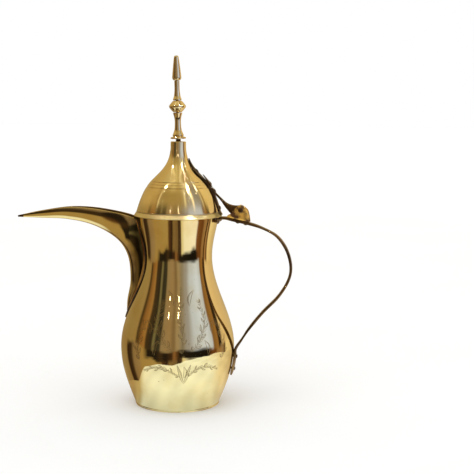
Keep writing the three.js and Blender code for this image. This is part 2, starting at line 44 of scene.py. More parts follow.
# A brass dallah. The pot's lengths are in millimetres, like the drawing's, and become metres in mesh_of().
# The camera, the materials and the stage are in metres.
MM = 0.001
TAU = 2 * pi

# ---- driving dimensions

GAP = 0.3
WALL = 1.1
BASE_R, BELLY_R, BELLY_Z = 41.5, 55.7, 57.0
WAIST_R, WAIST_Z = 33.5, 147.0
MOUTH_R, MOUTH_Z = 39.9, 185.6
LAP = 5.0
LID_R, LID_Z, BEZEL_Z = 43.0, 186.0, 190.0
SHOULDER_R, SHOULDER_Z = 25.0, 221.0
NECK_R, NECK_TOP = 7.5, 257.8
COLLAR_R, COLLAR_DEPTH = 34.6, 5.6
TOP_Z = 340.0
STUD_R, ROD_R = 2.6, 1.4
STUD_LOW, STUD_HIGH, ROD_TOP = 249.4, 260.1, 321.0
LEAN, LEAN_Z = -1.6, 257.0  # degrees that the finial leans towards the spout
STRAP_T, STRAP_HALF, LEAF_HALF, LEAF_Z = 1.2, 4.6, 6.5, 219.0
STRAP_LOW, STRAP_TOP = 187.0, 241.5
HINGE_X, HINGE_Z = 61.5, 192.6
PIN_R, EYE_R, LEVER_HALF = 1.5, 4.2, 3.3
CHEEK_IN, CHEEK_OUT, WEB_T = 3.7, 5.4, 1.4
HANDLE_T, HANDLE_THIN, HANDLE_HALF = 2.8, 2.0, 4.5
SADDLE_R, SADDLE_HALF, SADDLE_LOW, SADDLE_TOP = 41.2, 14.0, 180.8, 185.3
KNOB_R, KNOB_H, KNOB_Z, KNOB_ANGLE = 2.6, 2.4, 182.2, 0.3
SPOUT_WALL, FLANGE_T, FLANGE_REACH, FLANGE_BEDDING = 1.1, 1.0, 3.6, 0.1
HOLE_R, DRILL_FROM, DRILL_LENGTH = 2.3, 36.0, 16.0
RIVET_R, RIVET_HEAD, RIVET_RISE, PEEN_R, PEEN_RISE = 1.2, 2.0, 0.7, 1.8, 0.8
BODY_SEGMENTS, RING_SEGMENTS = 180, 160
FOOT_T = 1.0
TAIL_GAP = GAP + 0.2
STRAP_FACE = GAP + STRAP_T
FOOT_FACE = STRAP_FACE + GAP + FOOT_T


# ---- curves


def shares(steps):
    return [i / steps for i in range(steps + 1)]


def held(x):
    """x, kept between 0 and 1."""
    return min(1.0, max(0.0, x))


def neighbours(items, i):
    return items[max(i - 1, 0)], items[min(i + 1, len(items) - 1)]


def bezier(a, b, c, d, steps):
    out = []
    for t in shares(steps):
        k = (1 - t) ** 3, 3 * t * (1 - t) ** 2, 3 * t * t * (1 - t), t ** 3
        out.append(tuple(sum(w * p[j] for w, p in zip(k, (a, b, c, d))) for j in range(len(a))))
    return out


def spline_at(points, t):
    """A uniform Catmull-Rom curve through the points, at t from 0 to 1."""
    place = (len(points) - 1) * held(t)
    i = min(int(place), len(points) - 2)
    w = place - i
    p0, p1 = points[max(i - 1, 0)], points[i]
    p2, p3 = points[i + 1], points[min(i + 2, len(points) - 1)]
    out = []
    for a, b, c, d in zip(p0, p1, p2, p3):
        v0, v1 = (c - a) * 0.5, (d - b) * 0.5
        out.append((2 * b - 2 * c + v0 + v1) * w ** 3 + (-3 * b + 3 * c - 2 * v0 - v1) * w * w + v0 * w + b)
    return tuple(out)


def spline(points, steps):
    return [spline_at(points, t) for t in shares(steps)]


def offset(points, distance):
    out = []
    for i, p in enumerate(points):
        a, b = neighbours(points, i)
        dx, dy = b[0] - a[0], b[1] - a[1]
        n = hypot(dx, dy) or 1.0
        out.append((p[0] + dy / n * distance, p[1] - dx / n * distance))
    return out


def around_z(r, a, z):
    return r * cos(a), r * sin(a), z


def circle(r, z, count):
    return [around_z(r, TAU * i / count, z) for i in range(count)]


def quarter(r, high, z, steps):
    """A quarter of an ellipse, from its foot at (r, z) to just short of its pole."""
    return [(r * cos(b), z + high * sin(b)) for b in (pi / 2 * s for s in shares(steps)[:-1])]


def section(count, half_w, half_t, square_w=0.32, square_t=0.62):
    """A rounded rectangle, as pairs of a place across it and a height."""
    out = []
    for k in range(count):
        c, s = cos(TAU * (k + 0.5) / count), sin(TAU * (k + 0.5) / count)
        out.append((half_w * copysign(abs(c) ** square_w, c),
                    half_t * copysign(abs(s) ** square_t, s)))
    return out


def radius_at(profile, z):
    if z <= profile[0][1]:
        return profile[0][0]
    for (r0, z0), (r1, z1) in zip(profile, profile[1:]):
        if z0 <= z <= z1:
            return r0 + (r1 - r0) * (z - z0) / max(z1 - z0, 1e-9)
    return profile[-1][0]


def surface_spot(profile, z, angle, out=0.0):
    """A point on a turned surface, moved out of it by `out`, and the direction that points out there."""
    slope = radius_at(profile, z - 0.6) - radius_at(profile, z + 0.6)
    n = hypot(1.2, slope)
    nr, nz = 1.2 / n, slope / n
    r = radius_at(profile, z) + out * nr
    return Vector(around_z(r, angle, z + out * nz)), Vector(around_z(nr, angle, nz))


belly_curve = bezier((BASE_R, 1.8), (BASE_R + 4.6, 14.6), (BELLY_R, BELLY_Z - 23), (BELLY_R, BELLY_Z), 46)
flank_curve = bezier((BELLY_R, BELLY_Z), (BELLY_R, BELLY_Z + 33), (WAIST_R, WAIST_Z - 33.5),
                     (WAIST_R, WAIST_Z), 64)
throat_curve = bezier((WAIST_R, WAIST_Z), (WAIST_R, WAIST_Z + 12), (MOUTH_R - 3, MOUTH_Z - 14.6),
                      (MOUTH_R, MOUTH_Z), 34)
body_curve = belly_curve + flank_curve[1:] + throat_curve[1:]

dome_curve = bezier((LID_R - 2.4, BEZEL_Z), (38, 198.8), (33.7, 212.5), (SHOULDER_R, SHOULDER_Z), 40)
onion_curve = bezier((SHOULDER_R, SHOULDER_Z), (15.8, 230.2), (NECK_R + 1, 236), (NECK_R, 252), 44)
lid_curve = [(LID_R, LID_Z)] + dome_curve + onion_curve[1:] + [(NECK_R, NECK_TOP)]


# ---- meshes


def turned(profile, segments, warp=None):
    """Points and faces of an outline turned about Z, closed on itself unless both ends are on the axis.
    Also the place on the outline that each face comes from."""
    on_axis = profile[0][0] == 0 and profile[-1][0] == 0
    verts, rings, faces, place = [], [], [], []
    for r, z in profile:
        if r == 0:
            rings.append([len(verts)] * segments)
            verts.append((0.0, 0.0, z))
            continue
        rings.append(list(range(len(verts), len(verts) + segments)))
        for i in range(segments):
            a = TAU * i / segments
            rr = r + (warp(a, z) if warp else 0.0)
            verts.append(around_z(rr, a, z))
    pairs = list(zip(range(len(rings)), range(1, len(rings))))
    if not on_axis:
        pairs.append((len(rings) - 1, 0))
    for lo, hi in pairs:
        for i in range(segments):
            j = (i + 1) % segments
            corners = [rings[lo][i], rings[lo][j], rings[hi][j], rings[hi][i]]
            face = [v for k, v in enumerate(corners) if v not in corners[:k]]
            if len(face) > 2:
                faces.append(face)
                place.append(lo)
    return verts, faces, place


def lofted(rings, cap=True):
    """Closed rings of points, skinned one to the next."""
    count = len(rings[0])
    last = (len(rings) - 1) * count
    verts = [tuple(p) for ring in rings for p in ring]
    faces = []
    for k in range(0, last, count):
        for i in range(count):
            j = (i + 1) % count
            faces.append([k + i, k + j, k + count + j, k + count + i])
    if cap:
        faces.append(list(range(count))[::-1])
        faces.append([last + i for i in range(count)])
    return verts, faces


def grid_faces(rows, count):
    """The faces of a grid of `rows` strips, with `count` faces in each."""
    row = count + 1
    starts = [r * row + i for r in range(rows) for i in range(count)]
    return [[k, k + 1, k + row + 1, k + row] for k in starts]


def joined(*parts):
    verts, faces = [], []
    for v, f in parts:
        start = len(verts)
        verts.extend(v)
        faces.extend([k + start for k in face] for face in f)
    return verts, faces


def moved(part, matrix):
    return [tuple(matrix @ Vector(p)) for p in part[0]], part[1]


def placement(point, direction):
    turn = Vector((0, 0, 1)).rotation_difference(direction)
    return Matrix.Translation(point) @ turn.to_matrix().to_4x4()


def mesh_of(name, part, looks, unit=MM):
    mesh = bpy.data.meshes.new(name)
    mesh.from_pydata([tuple(c * unit for c in p) for p in part[0]], [], part[1])
    for look in looks:
        mesh.materials.append(look)
    return mesh


def placed(name, data):
    piece = bpy.data.objects.new(name, data)
    bpy.context.scene.collection.objects.link(piece)
    return piece


def shown(name, part, looks, body, node, face_looks=None, sharp=38):
    """A smooth piece that takes the place of one node. `looks` names its materials, and face_looks says by
    number which of them each face has."""
    mesh = mesh_of(name, part, [materials[look] for look in looks.split()])
    if face_looks:
        mesh.polygons.foreach_set("material_index", face_looks)
    bm = bmesh.new()
    bm.from_mesh(mesh)
    bmesh.ops.remove_doubles(bm, verts=bm.verts, dist=1e-7)
    bmesh.ops.recalc_face_normals(bm, faces=bm.faces)
    bm.to_mesh(mesh)
    bm.free()
    mesh.polygons.foreach_set("use_smooth", [True] * len(mesh.polygons))
    mesh.set_sharp_from_angle(angle=radians(sharp))
    piece = placed(name, mesh)
    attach(piece, body)
    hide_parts(node)
    return piece


# ---- camera

CAMERA_AT = (0.1487, -1.0582, 0.2933)
CAMERA_TURN, CAMERA_TILT, CAMERA_ROLL = 4.908, 83.16, 0.55


def aim_camera():
    data = bpy.data.cameras.new("camera")
    data.sensor_width = 36
    data.lens = 83.5
    camera = placed("camera", data)
    camera.location = CAMERA_AT
    turn = Matrix.Identity(3)
    for angle, axis in ((CAMERA_TURN, "Z"), (CAMERA_TILT, "X"), (CAMERA_ROLL, "Z")):
        turn = turn @ Matrix.Rotation(radians(angle), 3, axis)
    camera.rotation_euler = turn.to_euler()
    bpy.context.scene.camera = camera


# ---- materials


def feed(nt, n, inputs):
    """Sets a node's inputs, each to a value or from another node's output."""
    for key, value in inputs.items():
        if isinstance(value, bpy.types.NodeSocket):
            nt.links.new(value, n.inputs[key])
        else:
            n.inputs[key].default_value = value


def node(nt, kind, inputs, **settings):
    n = nt.nodes.new("ShaderNode" + kind)
    for key, value in settings.items():
        setattr(n, key, value)
    feed(nt, n, inputs)
    return n.outputs


def node_material(name):
    m = bpy.data.materials.new(name)
    m.use_nodes = True
    nt = m.node_tree
    return m, nt, nt.nodes["Principled BSDF"], node(nt, "TexCoord", {})["Object"]


def noise(nt, vector, scale, detail, stretch=None):
    if stretch:
        vector = node(nt, "Mapping", {"Scale": stretch, "Vector": vector})["Vector"]
    return node(nt, "TexNoise", {"Scale": scale, "Detail": detail, "Vector": vector})["Fac"]


def ramp(nt, fac, ends):
    """One colour up to a first value of fac and another from a second value, blended between the two."""
    r = nt.nodes.new("ShaderNodeValToRGB")
    for e, (at, colour) in zip(r.color_ramp.elements, ends):
        e.position = at
        e.color = (*colour, 1)
    feed(nt, r, {"Fac": fac})
    return r.outputs["Color"]


def span(nt, fac, low, high, start=0.3, end=0.7):
    ends = {"From Min": start, "From Max": end, "To Min": low, "To Max": high}
    return node(nt, "MapRange", {"Value": fac, **ends})["Result"]


def mixed(nt, fac, a, colour):
    return node(nt, "Mix", {"Factor": fac, "A": a, "B": (*colour, 1)}, data_type="RGBA")["Result"]


def brass(name, fresh, aged, gloss, rough, tarnish=(0.45, 0.7), grain=(900, 900, 250), depth=2e-6, pits=0.0,
          spun=0.0, painted_reflection_span=None, metal=1.0, cloud_scale=38.0):
    """Brass: clouds of tarnish over a fresh colour, smears in its gloss, fine rubbing marks and a few dark
    specks. The span along X, when given, is the two places between which it darkens: a painted dark
    reflection of the body side near the spout's root."""
    m, nt, shader, at = node_material(name)
    colour = ramp(nt, noise(nt, at, cloud_scale, 5), [(tarnish[0], fresh), (tarnish[1], aged)])
    if pits:
        speck = span(nt, noise(nt, at, 420, 2), 0.0, pits, 0.74, 0.78)
        colour = mixed(nt, speck, colour, (0.09, 0.05, 0.02))
    # Painted reflection: darker towards the body near the spout's root, for the dark body side.
    if painted_reflection_span:
        along = node(nt, "SeparateXYZ", {"Vector": at})["X"]
        wander = {0: noise(nt, at, 55, 3), 1: 0.016, 2: along}
        edge = node(nt, "Math", wander, operation="MULTIPLY_ADD")[0]
        colour = mixed(nt, span(nt, edge, 0.0, 0.86, *painted_reflection_span), colour, (0.09, 0.06, 0.025))
    smears = noise(nt, at, 70, 6, (1.0, 1.0, 0.35))
    fine = noise(nt, at, 1.0, 2, grain)
    feed(nt, shader, {"Metallic": metal, "Base Color": colour, "Roughness": span(nt, smears, gloss, rough),
                      "Normal": node(nt, "Bump", {"Distance": depth, "Height": fine})["Normal"]})
    if spun:
        tangent = node(nt, "Tangent", {}, direction_type="RADIAL", axis="Z")["Tangent"]
        feed(nt, shader, {"Anisotropic": spun, "Anisotropic Rotation": 0.25, "Tangent": tangent})
    return m


FRESH, AGED = (0.87, 0.72, 0.38), (0.82, 0.63, 0.29)
SPUN_GRAIN, EVEN_GRAIN = (140, 140, 2600), (700, 700, 700)
materials = {
    "polished": brass("polished_brass", FRESH, AGED, 0.03, 0.075, pits=0.6),
    # Painted reflection: the spout's brass darkens near its root as the dark body it reflects.
    "scorched": brass("brass_with_painted_body_reflection", FRESH, AGED, 0.03, 0.075, pits=0.6, painted_reflection_span=(-0.041, -0.032)),
    "satin": brass("satin_brass", (0.87, 0.71, 0.38), (0.8, 0.61, 0.3), 0.11, 0.17, grain=SPUN_GRAIN,
                   depth=5e-6, pits=0.5, spun=0.85),
    "turned": brass("turned_brass", (0.88, 0.71, 0.4), (0.68, 0.5, 0.25), 0.07, 0.16,
                    grain=(200, 200, 3600), depth=6e-6, pits=0.6),
    "dull": brass("dull_brass", (0.78, 0.68, 0.4), (0.64, 0.53, 0.3), 0.3, 0.42, grain=SPUN_GRAIN,
                  depth=5e-6, pits=0.5),
    "tarnished": brass("tarnished_brass", (0.3, 0.185, 0.085), (0.085, 0.055, 0.03), 0.2, 0.4,
                       (0.38, 0.66), EVEN_GRAIN, 1.6e-5, 0.9),
    "inside": brass("coffee_stained_brass", (0.5, 0.36, 0.16), (0.2, 0.13, 0.06), 0.2, 0.4,
                    (0.35, 0.65), (300, 300, 900), 1e-5, 0.8),
    "tin": brass("tin_lining", (0.62, 0.6, 0.56), (0.42, 0.38, 0.31), 0.26, 0.42,
                 (0.4, 0.7), (500, 500, 200), 1.2e-5, 0.8),
    # Blackened brass, also used as a painted shade line along the spout flange's joint with the body.
    "blackened": brass("blackened_brass_and_shade_line", (0.17, 0.1, 0.05), (0.05, 0.032, 0.02), 0.2, 0.4,
                       (0.38, 0.66), EVEN_GRAIN, 1.6e-5, 0.9),
    "amber": brass("amber_brass", (0.95, 0.64, 0.26), (0.4, 0.2, 0.07), 0.3, 0.45,
                   (0.47, 0.62), EVEN_GRAIN, 1.2e-5, 0.9),
    "ochre": brass("ochre_brass", (0.86, 0.5, 0.1), (0.13, 0.06, 0.025), 0.22, 0.4,
                   (0.47, 0.6), EVEN_GRAIN, 1.2e-5, 0.9, metal=0.6, cloud_scale=130.0),
    "cut": brass("cut_lines", (0.36, 0.25, 0.1), (0.24, 0.16, 0.06), 0.5, 0.62,
                 grain=(900, 900, 900), depth=4e-6),
}


# ---- body


def raised_by_hand(a, z):
    """The slight unevenness of a hand-raised shell."""
    waves = 0.1 * sin(3 * a + 0.031 * z) + 0.06 * sin(5 * a - 0.055 * z + 1.3)
    waves += 0.035 * sin(9 * a + 0.11 * z + 0.4)
    return waves * held((z - 6) / 25)


def tinned(name, node, profile, is_tin, segments=BODY_SEGMENTS, warp=raised_by_hand):
    """A turned piece of the pot, tinned where is_tin says so of the place on the outline."""
    verts, faces, place = turned(profile, segments, warp)
    return shown(name, (verts, faces), "polished tin", "pot", node, [1 if is_tin(p) else 0 for p in place])


def make_lower_body():
    inside = offset(belly_curve, -WALL)
    lap_skin = offset(flank_curve[:12], -WALL - GAP)
    seam, lap_top = BELLY_Z - 0.03, BELLY_Z + LAP
    outer = belly_curve[:-1] + [(BELLY_R, seam)]
    low_r, top_r = lap_skin[0][0], radius_at(lap_skin, lap_top)
    lap = [(low_r, seam), (low_r, BELLY_Z + 0.2), (top_r, lap_top - 0.2), (top_r - 0.2, lap_top),
           (top_r - WALL + 0.2, lap_top), (top_r - WALL, lap_top - 0.2), (low_r - WALL, BELLY_Z - 1),
           (BELLY_R - WALL, BELLY_Z - 3.5)]
    profile = outer + lap + inside[:-1][::-1]
    tin_from = len(outer) + 3
    tinned("lower_body_shell", "lower_body", profile, lambda p: tin_from <= p < len(profile) - 1)


def make_upper_body():
    outside = flank_curve + throat_curve[1:]
    inside = offset(outside, -WALL)
    edge = [(MOUTH_R, MOUTH_Z - 0.3), (MOUTH_R - 0.3, MOUTH_Z), (MOUTH_R - WALL + 0.3, MOUTH_Z),
            (MOUTH_R - WALL, MOUTH_Z - 0.3)]
    foot = [(BELLY_R - WALL, BELLY_Z), (BELLY_R, BELLY_Z)]
    profile = outside[1:-1] + edge + inside[1:-1][::-1] + foot
    tin_from, tin_to = len(outside) - 1, len(profile) - len(foot)
    cut_strainer(tinned("upper_body_shell", "upper_body", profile, lambda p: tin_from <= p <= tin_to))


STRAINER_ROWS = ((120, (0,)), (129, (-1, 1)), (138, (-2, 0, 2)), (147, (-1, 1)), (156, (0,)))
STRAINER_TURN = 0.14


def cut_strainer(piece):
    """The strainer holes behind the spout, cut through the wall."""
    drill = bmesh.new()
    for z, places in STRAINER_ROWS:
        for k in places:
            a = pi + k * STRAINER_TURN
            out = Vector(around_z(1, a, 0))
            at = placement(Vector((0, 0, z)) + out * DRILL_FROM, out)
            at.translation *= MM
            made = bmesh.ops.create_cone(drill, cap_ends=True, segments=24, radius1=HOLE_R * MM,
                                         radius2=HOLE_R * MM, depth=DRILL_LENGTH * MM)
            bmesh.ops.transform(drill, matrix=at, verts=made["verts"])
    mesh = bpy.data.meshes.new("drill")
    drill.to_mesh(mesh)
    drill.free()
    tool = placed("drill", mesh)
    cut = piece.modifiers.new("strainer", "BOOLEAN")
    cut.object = tool
    cut.operation = "DIFFERENCE"
    cut.solver = "EXACT"
    bpy.context.view_layer.update()
    pierced = piece.evaluated_get(bpy.context.evaluated_depsgraph_get())
    made = bpy.data.meshes.new_from_object(pierced)
    piece.modifiers.clear()
    piece.data = made
    bpy.data.objects.remove(tool)


def make_base_plate():
    rim = BASE_R - WALL - GAP
    underside = [(0, 0.35), (BASE_R - 6, 0.3), (BASE_R - 5, 0.05), (BASE_R - 4.6, 0), (BASE_R - 0.9, 0),
                 (BASE_R - 0.35, 0.12), (BASE_R - 0.08, 0.4), (BASE_R, 0.7), (BASE_R, 1.62),
                 (BASE_R - 0.15, 1.72)]
    upturned = [(rim, 1.72), (rim, 6.8), (rim - 0.3, 7), (rim - WALL + 0.3, 7), (rim - WALL, 6.8),
                (rim - WALL, 2.2), (rim - WALL - 0.6, 1.6), (0, 1.6)]
    tinned("base_plate_disc", "base_plate", underside + upturned, lambda p: p >= len(underside),
           RING_SEGMENTS, None)


def make_rim_wire():
    tube, count = 0.6, RING_SEGMENTS
    radius, middle = MOUTH_R - WALL - tube - 0.9, MOUTH_Z - tube - 0.1
    rings = []
    for i in range(count):
        a = TAU * i / count
        rings.append([around_z(radius + across, a, middle + up) for across, up, _ in circle(tube, 0, 14)])
    shown("rim_wire_ring", lofted(rings + [rings[0]], cap=False), "satin", "pot", "rim_wire")


# ---- spout

KEEL = [(-50.5, 76), (-50.3, 100), (-46.9, 122), (-49.7, 146), (-61.3, 162.5), (-84, 175), (-110, 180.5),
        (-136, 181.2), (-159.4, 181.7)]
EDGE = [(-28, 76), (-27, 108), (-24, 136), (-24, 163), (-39, 181.7), (-72, 190.2), (-104, 192.5),
        (-134, 188.5), (-159.4, 183)]
HALF = [(3,), (13,), (16,), (15,), (9.4,), (8.6,), (6.2,), (3.6,), (0.7,)]
HALF_ROUND = pi / 2 - 1e-6  # a section that no longer meets the body reaches this far either way


def spout_point(t, a, grow=0.0):
    """A point of the half-round section at t; a runs from -90 to 90 degrees, and 0 is the keel."""
    keel, edge = spline_at(KEEL, t), spline_at(EDGE, t)
    ux, uz = edge[0] - keel[0], edge[1] - keel[1]
    deep = hypot(ux, uz)
    ux, uz = ux / deep, uz / deep
    down = (deep + grow) * cos(a)
    half = max(spline_at(HALF, t)[0] + grow, 0.22)
    return Vector((edge[0] - ux * down, half * sin(a), edge[1] - uz * down))


def body_clearance(p):
    return hypot(p.x, p.y) - radius_at(body_curve, p.z) - GAP


def section_limit(t, grow):
    """How far round the section it stays outside the body."""
    if body_clearance(spout_point(t, 0, grow)) <= 0:
        return 0.0
    step = pi / 2 / 60
    a = step
    while a < pi / 2 and body_clearance(spout_point(t, a, grow)) > 0:
        a += step
    if a >= pi / 2:
        return pi / 2
    lo, hi = a - step, a
    for _ in range(24):
        mid = (lo + hi) / 2
        lo, hi = (mid, hi) if body_clearance(spout_point(t, mid, grow)) > 0 else (lo, mid)
    return lo


def outside_body(p):
    out = hypot(p.x, p.y)
    least = radius_at(body_curve, p.z) + GAP
    if p.z < MOUTH_Z and out < least:
        return Vector((p.x * least / out, p.y * least / out, p.z))
    return p


def towards(v, goal):
    return -v if v.dot(goal) < 0 else v


def flange_strip(start, join):
    """The soldered foot of the spout: it leaves the wall in a fillet and lies flat on the body."""
    count, steps = 90, 150
    side = []
    for i in range(count + 1):
        t = start + (join - start) * i / count
        side.append((t, section_limit(t, 0.0)))
    line = [(t, -a) for t, a in side[::-1]] + side[1:]
    points = [spout_point(t, a) for t, a in line]
    last = len(points) - 1
    lengths = [0.0]
    for p, q in zip(points, points[1:]):
        lengths.append(lengths[-1] + (q - p).length)
    rings = []
    for k in range(steps + 1):
        want = lengths[-1] * k / steps
        i = min(max(j for j in range(len(lengths)) if lengths[j] <= want + 1e-9), last - 1)
        share = (want - lengths[i]) / max(lengths[i + 1] - lengths[i], 1e-9)
        p = points[i].lerp(points[i + 1], share)
        along = (points[min(i + 4, last)] - points[max(i - 3, 0)]).normalized()
        _, normal = surface_spot(body_curve, min(p.z, MOUTH_Z - 1), atan2(p.y, p.x))
        away = towards(along.cross(normal).normalized(), Vector((0, p.y, (p.z - 150) * 0.05 - 0.5)))
        t, a = (u + (v - u) * share for u, v in zip(line[i], line[i + 1]))
        dt = spout_point(t + 0.004, a) - spout_point(t - 0.004, a)
        da = spout_point(t, a + 0.05) - spout_point(t, a - 0.05)
        wall_out = towards(dt.cross(da).normalized(), away)
        up = towards(wall_out.cross(along).normalized(), normal)
        reach = FLANGE_REACH * min(1.0, 0.45 + 1.6 * min(k, steps - k) / steps)
        fillet = bezier(p + up * 2.6 - wall_out * 0.3, p + up * 1.2, p + away * 0.5 + normal * FLANGE_T,
                        p + away * 1.9 + normal * FLANGE_T, 7)
        rings.append([Vector(c) for c in fillet] + [
            p + away * (reach - 0.3) + normal * FLANGE_T,
            p + away * (reach - 0.06) + normal * (FLANGE_T - 0.14),
            p + away * reach + normal * (FLANGE_T - 0.4),
            p + away * reach - normal * FLANGE_BEDDING,
            p + away * 0.3 - normal * FLANGE_BEDDING,
            p - wall_out * 0.5 + up * 0.6,
        ])
    return lofted(rings)


def make_spout():
    """The beak, stained inside and dark at its tip, with a painted reflection of the body darkening its
    root, and its flange, amber on the side that shows and black elsewhere as a painted shade line along
    the joint with the body.
    """
    steps, around, dark_steps = 120, 18, 5
    polished, stained, amber, black = range(4)
    rounded_lip = ((0.12, 0.22), (0.4, 0.38), (0.75, 0.3))
    start = next(t for t in shares(400) if section_limit(t, 0.0) > 0.02)
    join = next(t for t in shares(400) if t > start and section_limit(t, 0.0) > HALF_ROUND)
    rings = []
    for k in range(steps + 1):
        t = start + (1 - start) * k / steps
        out, inn = section_limit(t, 0.0), section_limit(t, -SPOUT_WALL)
        outer = [outside_body(spout_point(t, out * (2 * s - 1))) for s in shares(around)]
        inner = [outside_body(spout_point(t, inn * (1 - 2 * s), -SPOUT_WALL)) for s in shares(around)]
        crown = 1.0 if out > HALF_ROUND else 0.0
        lips = [[a.lerp(b, w) + Vector((0, 0, h * crown)) for w, h in rounded_lip]
                for a, b in ((outer[-1], inner[0]), (inner[-1], outer[0]))]
        rings.append(outer + lips[0] + inner + lips[1])
    verts, faces = lofted(rings)
    count = len(rings[0])
    inner_faces = range(around + 3, 2 * around + 5)
    light_faces = range((steps - dark_steps) * count)
    # Outer faces take brass painted darker near the root, a painted reflection of the body.
    slots = [stained if f % count in inner_faces else polished for f in light_faces]
    slots += [black] * (len(faces) - len(slots))
    flange = flange_strip(start + 0.002, join)
    # Painted shade: the flange's faces that are not amber go black, as the dark line along its joint.
    seen_faces, around_flange = range(2, 9), 14
    slots += [amber if f % around_flange in seen_faces else black for f in range(len(flange[1]))]
    shown("spout_beak", joined((verts, faces), flange), "scorched inside amber blackened", "pot", "spout",
          slots)


# ---- handle and its rivets


def beside_belly(z):
    p, _ = surface_spot(body_curve, z, 0, GAP + HANDLE_T / 2 + 0.1)
    return p.x, p.z


HANDLE_POINTS = [
    (SADDLE_R + GAP, 184.2), (47, 184.2), (54, 182.5), (69.5, 179.2), (82.7, 175), (96.8, 167.3),
    (106.4, 154), (110.6, 138), (108.4, 124.3), (98.9, 108.3), (83.8, 92.2), (70.9, 76.1), (63.4, 64.5),
] + [beside_belly(z) for z in (55, 47, 38, 29.5)]
handle_line = spline(HANDLE_POINTS, 210)


def strip_rings(line, half_w, half_t):
    """Rings of a crowned strip along an (x, z) line. half_w and half_t are functions of the share of its
    length."""
    rings = []
    for i, p in enumerate(line):
        a, b = neighbours(line, i)
        dx, dz = b[0] - a[0], b[1] - a[1]
        n = hypot(dx, dz)
        nx, nz = -dz / n, dx / n
        s = i / (len(line) - 1)
        rings.append([(p[0] + nx * h, y, p[1] + nz * h) for y, h in section(28, half_w(s), half_t(s))])
    return rings


def make_handle():
    thin_places = ((0.27, 0.085), (0.735, 0.075))

    def width(s):
        worked = 1 + 0.012 * sin(37 * s) + 0.008 * sin(83 * s + 1)
        end = held((1 - s) / 0.022)
        return HANDLE_HALF * worked * (0.35 + 0.65 * sqrt(1 - (1 - end) ** 2)) * 0.985

    def thick(s):
        end = held((1 - s) / 0.03)
        drawn = sum((1 + cos(pi * min(1.0, abs(s - middle) / reach))) / 2
                    for middle, reach in thin_places)
        return (HANDLE_T - (HANDLE_T - HANDLE_THIN) * drawn) / 2 * (0.6 + 0.4 * end)

    strip = lofted(strip_rings(handle_line, width, thick))
    shown("handle_strip", strip, "tarnished", "pot", "handle", sharp=60)


def make_saddle():
    steps, low, top = 44, SADDLE_LOW, SADDLE_TOP
    limit = asin(SADDLE_HALF / SADDLE_R)
    low_r, top_r = radius_at(body_curve, low) + GAP, radius_at(body_curve, top) + GAP
    rings = []
    for i in range(steps + 1):
        a = -limit + 2 * limit * i / steps
        end = min(1.0, (steps / 2 - abs(i - steps / 2)) / 3.0)
        swell = 0.3 + 0.7 * sqrt(1 - (1 - end) ** 2)
        foot, head = low + 0.5 * (1 - swell), top - 0.5 * (1 - swell)
        out = top_r + (SADDLE_R - top_r) * swell
        outline = [(low_r, foot), (out - 0.5, foot), (out - 0.12, foot + 0.14), (out, foot + 0.5),
                   (out, head - 0.5), (out - 0.12, head - 0.14), (out - 0.5, head), (top_r, head)]
        rings.append([around_z(r, a, z) for r, z in outline])
    shown("saddle_block", lofted(rings), "tarnished", "pot", "handle_saddle")


def rivet_part(point, direction, grip, head_r=RIVET_HEAD, head_h=RIVET_RISE):
    tail = -grip - GAP
    dome = quarter(head_r, head_h, GAP, 9)
    peen = quarter(PEEN_R, -PEEN_RISE, tail, 6)[::-1]
    profile = [(0, tail - PEEN_RISE)] + peen + [(RIVET_R, tail), (RIVET_R, GAP), (head_r - 0.15, GAP - 0.16)]
    profile += dome + [(0, GAP + head_h)]
    hammered = turned(profile, 30, lambda a, z: 0.035 * sin(3 * a + 2 * z) if z > 0 else 0.0)
    return moved(hammered, placement(point, direction))


def make_pot_rivets():
    grip = HANDLE_T + TAIL_GAP + WALL
    for name, z in (("handle_rivet_upper", 48), ("handle_rivet_lower", 36)):
        at = surface_spot(body_curve, z, 0, TAIL_GAP + HANDLE_T)
        shown(name + "_head", rivet_part(*at, grip), "blackened", "pot", name)
    grip = SADDLE_R - radius_at(body_curve, KNOB_Z) + WALL + 0.5
    for name, side in (("saddle_rivet_near", -1), ("saddle_rivet_far", 1)):
        out = Vector(around_z(1, side * KNOB_ANGLE, 0))
        knob = rivet_part(Vector((out.x * SADDLE_R, out.y * SADDLE_R, KNOB_Z)), out, grip, KNOB_R, KNOB_H)
        shown(name + "_knob", knob, "tarnished", "pot", name)
    grip = HANDLE_T + WEB_T + GAP
    for name, x in (("bracket_rivet_front", 58.5), ("bracket_rivet_rear", 66.2)):
        shown(name + "_head", rivet_part(*web_spot(x), grip), "tarnished", "pot", name)


def web_spot(x):
    i = next(k for k, p in enumerate(handle_line) if p[0] > x)
    a, b = handle_line[i - 1], handle_line[i]
    along = Vector((b[0] - a[0], 0, b[1] - a[1])).normalized()
    z = a[1] + (b[1] - a[1]) * (x - a[0]) / (b[0] - a[0])
    out = Vector((-along.z, 0, along.x))
    return Vector((x, 0, z)) + out * (HANDLE_T / 2 + GAP + WEB_T), out


# ---- hinge

DOME = [(70.4, 182.2), (69.6, 187.5), (67.6, 193), (61.6, 197), (56.4, 194.6), (53, 189.6), (48, 186.6)]
DOME_MIDDLE = (61.2, 188.4)


def handle_top(gap):
    return offset([p for p in handle_line if p[1] > WAIST_Z], -HANDLE_T / 2 - gap)


def pillow(outline, faces_at, centre):
    """A plate with one bulging face and one flat face, from an (x, z) outline: rings shrink to its centre."""
    cx, cz = centre
    return lofted([[(cx + (p[0] - cx) * shrink, y, cz + (p[1] - cz) * shrink) for p in outline]
                   for shrink, y in faces_at])


